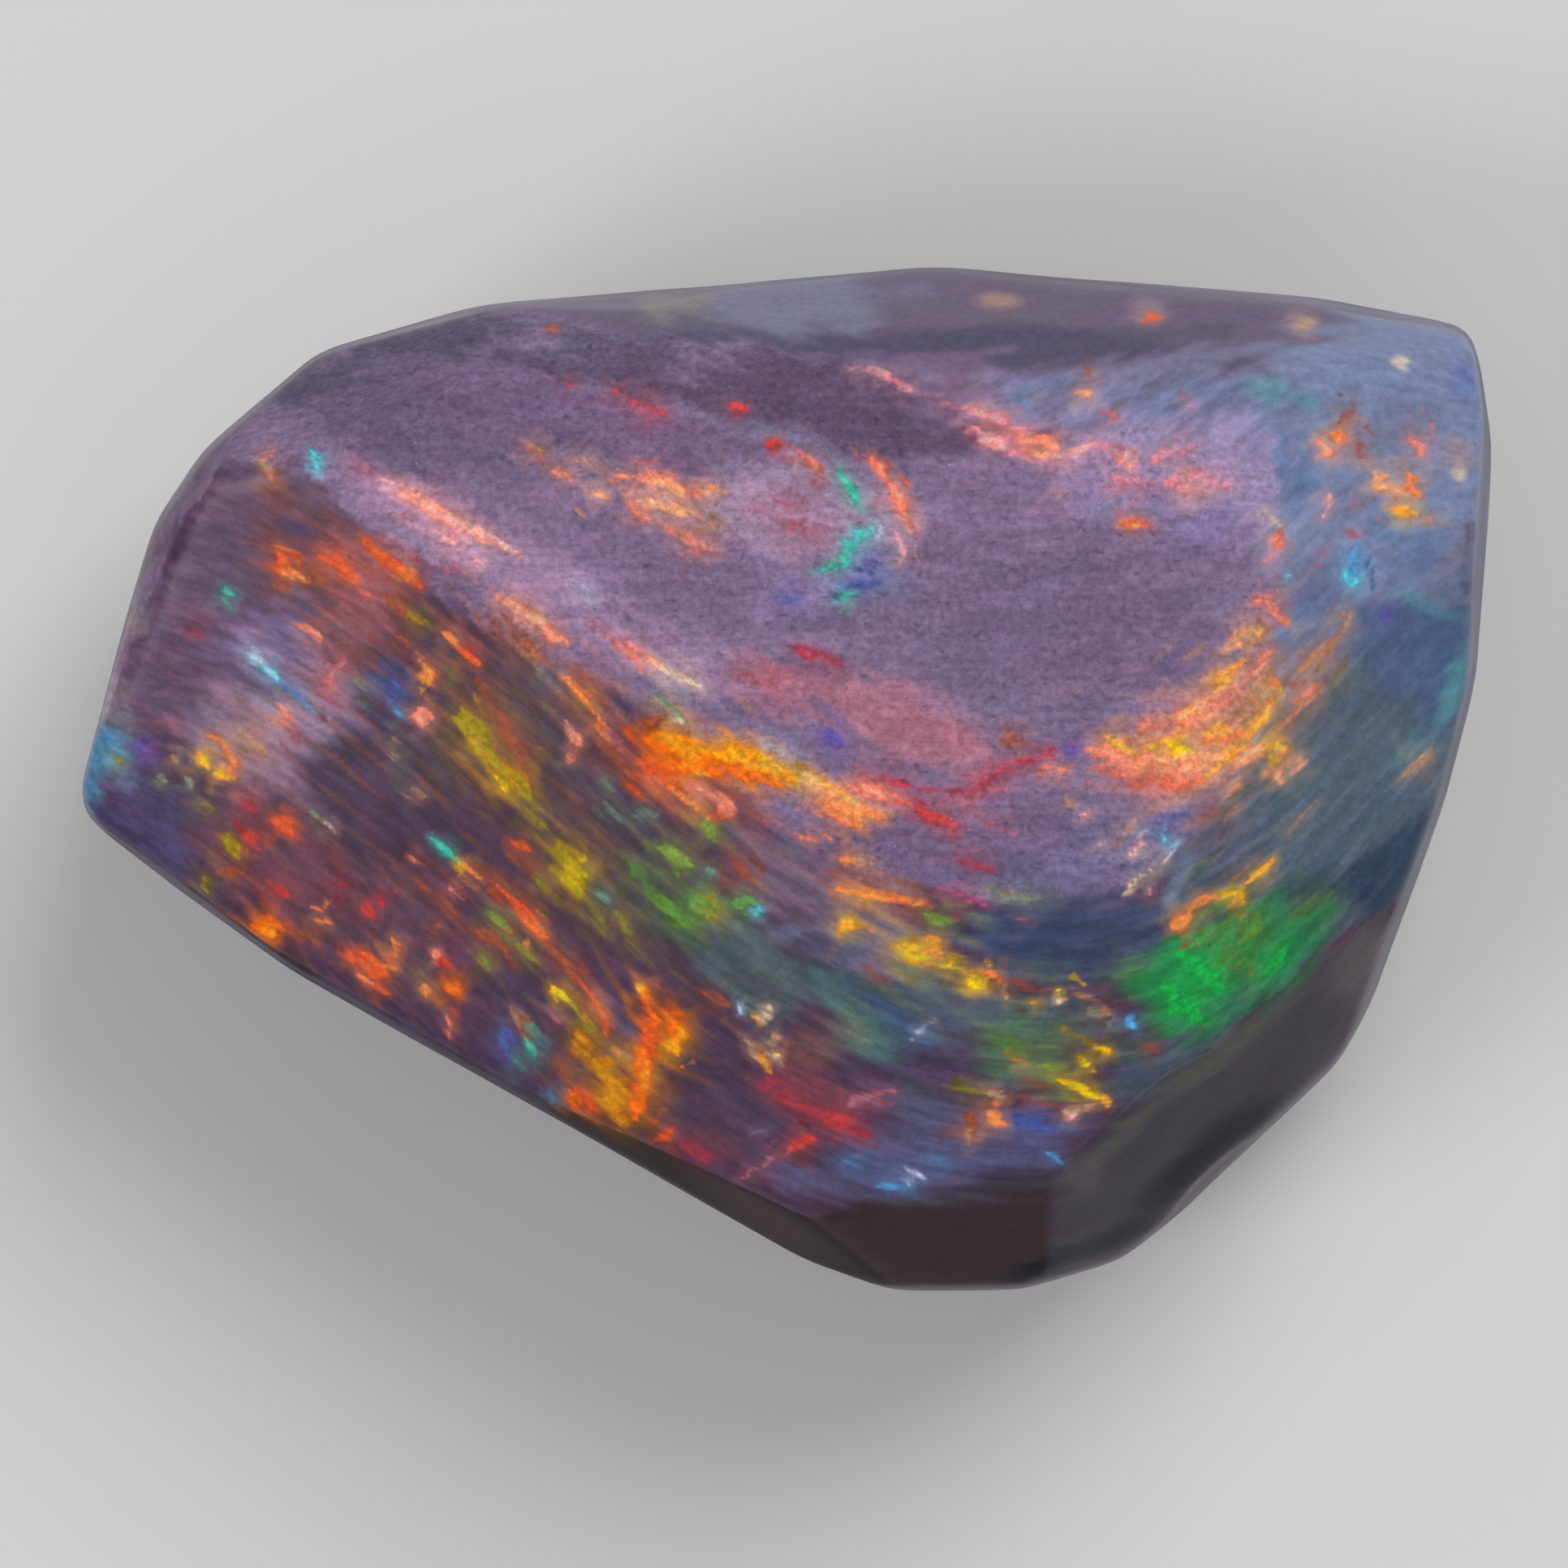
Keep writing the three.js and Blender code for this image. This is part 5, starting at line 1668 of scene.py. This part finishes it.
def grit_group():
    group = new_group(
        "grit marks",
        [("Place", "NodeSocketVector")],
        [(name, "NodeSocketFloat") for name in ("Speckle", "Scratches", "Drifts", "Pits", "Glints")],
    )
    w = Wiring(group)
    place = group.nodes.new("NodeGroupInput").outputs["Place"]
    speckle = w.noise(place, scale=9.5, detail=3, roughness=0.65)
    scratches = w.noise(w.stretch(place, (0.9, 8.0, 2.0), WHEEL_TURN), detail=4, roughness=0.7)
    drifts = w.noise(w.stretch(place, (0.9, 2.6, 2.0), WHEEL_TURN), detail=3, roughness=0.6)
    pits = w.noise(w.stretch(place, (7.0, 11.0, 8.0), WHEEL_TURN), detail=1, roughness=0.5)
    # painted glints: a few small dots that the material gives off as white light
    cells = w.node("ShaderNodeTexVoronoi", Vector=place, Scale=3.6)
    dot = w.between(cells.outputs["Distance"], 0.04, 0.09, 1.0, 0.0)
    pick = w.node("ShaderNodeSeparateColor", Color=cells.outputs["Color"]).outputs[0]
    glints = w.math("MULTIPLY", dot, w.between(pick, 0.80, 0.86))
    w.output(Speckle=speckle, Scratches=scratches, Drifts=drifts, Pits=pits, Glints=glints)
    return group


# %% Fire in the sides
HUE_STEPS = [(0.0, "ember"), (0.16, "orange"), (0.28, "rust"), (0.40, "olive"), (0.52, "leaf"),
             (0.64, "teal"), (0.76, "blue"), (0.88, "violet"), (1.0, "crimson")]


def fire_group():
    group = new_group(
        "side fire",
        [("Grain", "NodeSocketVector")],
        [("Colour", "NodeSocketColor"), ("Mask", "NodeSocketFloat")],
    )
    w = Wiring(group)
    grain_in = group.nodes.new("NodeGroupInput").outputs["Grain"]
    warped = w.node("ShaderNodeTexNoise", Vector=grain_in, Scale=1.4, Detail=2)
    shifted = w.node("ShaderNodeVectorMath", {"operation": "MULTIPLY_ADD"})
    w.feed(shifted.inputs[0], warped.outputs["Color"])
    w.feed(shifted.inputs[1], (1.2, 1.2, 1.2))
    w.feed(shifted.inputs[2], grain_in)
    cells = w.node("ShaderNodeTexVoronoi", Vector=w.stretch(shifted.outputs[0], (0.8, 1.7, 1.5)), Scale=1.0)
    picks = w.node("ShaderNodeSeparateColor", Color=cells.outputs["Color"]).outputs
    hues = w.node("ShaderNodeValToRGB", Fac=picks[0])
    stops = hues.color_ramp.elements
    while len(stops) < len(HUE_STEPS):
        stops.new(0.5)
    for stop, (position, name) in zip(stops, HUE_STEPS):
        stop.position = position
        stop.color = (*to_light(colour(name)), 1)
    ragged = w.noise(w.stretch(grain_in, (1.5, 6.0, 5.0)), detail=4, roughness=0.65)
    lit = w.math("MULTIPLY", w.between(picks[1], 0.45, 0.75), w.between(ragged, 0.46, 0.60))
    w.output(Colour=hues.outputs[0], Mask=lit)
    return group


FIBRES, GRIT, FIRE = fibre_group(), grit_group(), fire_group()
print("node groups:", FIBRES.name, "/", GRIT.name, "/", FIRE.name)

# %% [markdown]
# ## The opal material
#
# The body is a slightly milky solid, so light scatters a little below the skin. Flashes are light
# sent back by the layers, brighter than any paint, so part of their colour is emitted. The frosted
# table is rough and pale, the windows and bevels are smooth with a thin clear shine. Numbers that
# are the same all over sit on the shader itself.

# %% The tone of the body
def body_paint(w, layer, fibres, place):
    """Fibres and patches stir the tone, and fine milky grains lie over all of it."""
    streaky = layer["Alpha"]
    stir = w.between(fibres["Coarse"], 0.34, 0.66, 0.80, 1.22)
    stir = w.math("MULTIPLY", stir, w.between(fibres["Strands"], 0.34, 0.66, 0.91, 1.09))
    tone = w.times(layer["Color"], w.mix(streaky, (1, 1, 1, 1), stir))
    warm = w.times(tone, (1.12, 0.98, 1.01, 1))
    cool = w.times(tone, (0.88, 1.08, 1.17, 1))
    tinted = w.mix(w.between(fibres["Patches"], 0.38, 0.62), cool, warm)
    tone = w.mix(w.between(streaky, 0, 1, 0.10, 0.65), tone, tinted)
    milky = w.noise(place, scale=7.0, detail=4, roughness=0.75)
    return w.times(tone, w.between(milky, 0.32, 0.68, 0.88, 1.12))


# %% The light of the flashes
def flash_light(w, layer, fibres, grit):
    """Strands along the layers fray the edge of each flash and vary the hue inside it."""
    near = layer["Alpha"]
    comb = w.math("MULTIPLY_ADD", fibres["Strands"], 0.6, w.math("MULTIPLY", fibres["Fine"], 0.4))
    uneven = w.math("SUBTRACT", comb, 0.5)
    edge = w.math("MULTIPLY_ADD", uneven, 1.9, near)
    lit = w.math("MULTIPLY", w.between(edge, 0.06, 0.90), w.between(near, 0.0, 0.25))
    ember = w.times(layer["Color"], (0.82, 0.62, 0.68, 1))
    bright = w.times(layer["Color"], (1.04, 1.14, 1.10, 1))
    heat = w.math("MULTIPLY_ADD", uneven, 2.8, near)
    hue = w.mix(w.between(heat, 0.0, 1.1), ember, bright)
    redder = w.between(fibres["Fine"], 0.36, 0.64)
    hue = w.times(hue, w.mix(redder, (0.96, 1.20, 1.24, 1), (1.04, 0.82, 0.84, 1)))
    return w.times(hue, w.between(grit["Speckle"], 0.32, 0.68, 0.80, 1.20)), lit


# %% The powder of the frosted ground
def frost_powder(w, grit, frosted, lit):
    """Grains, long scratches and dark pits, weaker where a flash shines through."""
    grains = w.between(grit["Speckle"], 0.30, 0.70, 0.82, 1.18)
    lines = w.between(grit["Scratches"], 0.30, 0.70, 0.90, 1.10)
    drifts = w.between(grit["Drifts"], 0.34, 0.66, 0.90, 1.10)
    pits = w.between(grit["Pits"], 0.60, 0.74, 1.0, 0.74)
    powder = w.math("MULTIPLY", w.math("MULTIPLY", grains, lines), w.math("MULTIPLY", drifts, pits))
    powdered = w.math("MULTIPLY", frosted, w.between(lit, 0, 1, 1.0, 0.5))
    return w.math("MULTIPLY_ADD", powdered, w.math("SUBTRACT", powder, 1.0), 1.0)


# %% The material
FLASH_GLOW = 0.28
FLASH_PAINT = 0.60
UNDER_FROST = 0.94
POLISHED, FROSTED, POTCH_DULL = 0.38, 0.62, 0.75
CLEAR_SHINE = 0.08
SAME_ALL_OVER = {
    "Emission Strength": FLASH_GLOW, "Coat Roughness": 0.16, "IOR": 1.45, "Specular IOR Level": 0.13,
    "Subsurface Weight": 0.12, "Subsurface Radius": (1.0, 0.8, 0.9), "Subsurface Scale": 0.35 * MM,
}


def grey(level):
    return (level, level, level, 1)


def opal_material():
    material = bpy.data.materials.new("opal")
    material.use_nodes = True
    tree = material.node_tree
    shader = tree.nodes["Principled BSDF"]
    w = Wiring(tree)

    def layer(name):
        return w.node("ShaderNodeAttribute", {"attribute_name": name}).outputs

    grain_layer, mask_layer = layer("grain"), layer("masks")
    masks_xyz = w.node("ShaderNodeSeparateXYZ", Vector=mask_layer["Vector"]).outputs
    frosted, hidden, dull = masks_xyz[0], masks_xyz[1], masks_xyz[2]
    in_metres = w.node("ShaderNodeTexCoord").outputs["Object"]
    place = w.stretch(in_metres, (1 / MM, 1 / MM, 1 / MM))
    fibres = w.use(FIBRES, Grain=grain_layer["Vector"])
    grit = w.use(GRIT, Place=place)
    fire = w.use(FIRE, Grain=grain_layer["Vector"])
    tone = body_paint(w, layer("body"), fibres, place)
    flash_tone, lit = flash_light(w, layer("flash"), fibres, grit)

    # fire in the sides, and frost that dims every flash a little
    side_lit = w.math("MULTIPLY", fire["Mask"], hidden)
    flash_tone = w.mix(side_lit, flash_tone, fire["Colour"])
    under_frost = w.between(frosted, 0, 1, 1.0, UNDER_FROST)
    lit = w.math("MULTIPLY", w.math("MAXIMUM", lit, side_lit), under_frost)
    powder = frost_powder(w, grit, frosted, lit)
    surface = w.mix(lit, tone, w.times(flash_tone, grey(FLASH_PAINT)))
    w.feed(shader.inputs["Base Color"], w.times(surface, powder))

    # part of each flash shines, and painted glints are given off as light on a few grains of the frosted
    # ground
    glow = w.times(w.mix(lit, grey(0), flash_tone), powder)
    glints = w.math("MULTIPLY", grit["Glints"], w.math("MULTIPLY", frosted, 0.6))
    w.feed(shader.inputs["Emission Color"], w.mix(glints, glow, (0.8, 0.78, 0.9, 1)))

    roughness = w.mix(frosted, grey(POLISHED), grey(FROSTED))
    w.feed(shader.inputs["Roughness"], w.mix(dull, roughness, grey(POTCH_DULL)))
    matt = w.math("MAXIMUM", frosted, dull)
    w.feed(shader.inputs["Coat Weight"], w.math("MULTIPLY", w.math("SUBTRACT", 1.0, matt), CLEAR_SHINE))
    for socket, value in SAME_ALL_OVER.items():
        shader.inputs[socket].default_value = value

    grain_height = w.math("MULTIPLY", grit["Speckle"], matt)
    line_height = w.math("MULTIPLY", grit["Scratches"], w.math("MULTIPLY", frosted, 0.6))
    wave_height = w.math("MULTIPLY", fibres["Patches"], 0.5)
    height = w.math("ADD", w.math("ADD", grain_height, line_height), wave_height)
    bump = w.node("ShaderNodeBump", Height=height, Strength=0.5, Distance=0.02 * MM)
    w.feed(shader.inputs["Normal"], bump.outputs[0])
    return material


stone.data.materials.append(opal_material())
print("material nodes:", len(stone.data.materials[0].node_tree.nodes))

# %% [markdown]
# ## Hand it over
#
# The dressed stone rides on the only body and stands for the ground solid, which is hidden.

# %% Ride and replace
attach(stone, "root")
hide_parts(STONE_NODE)
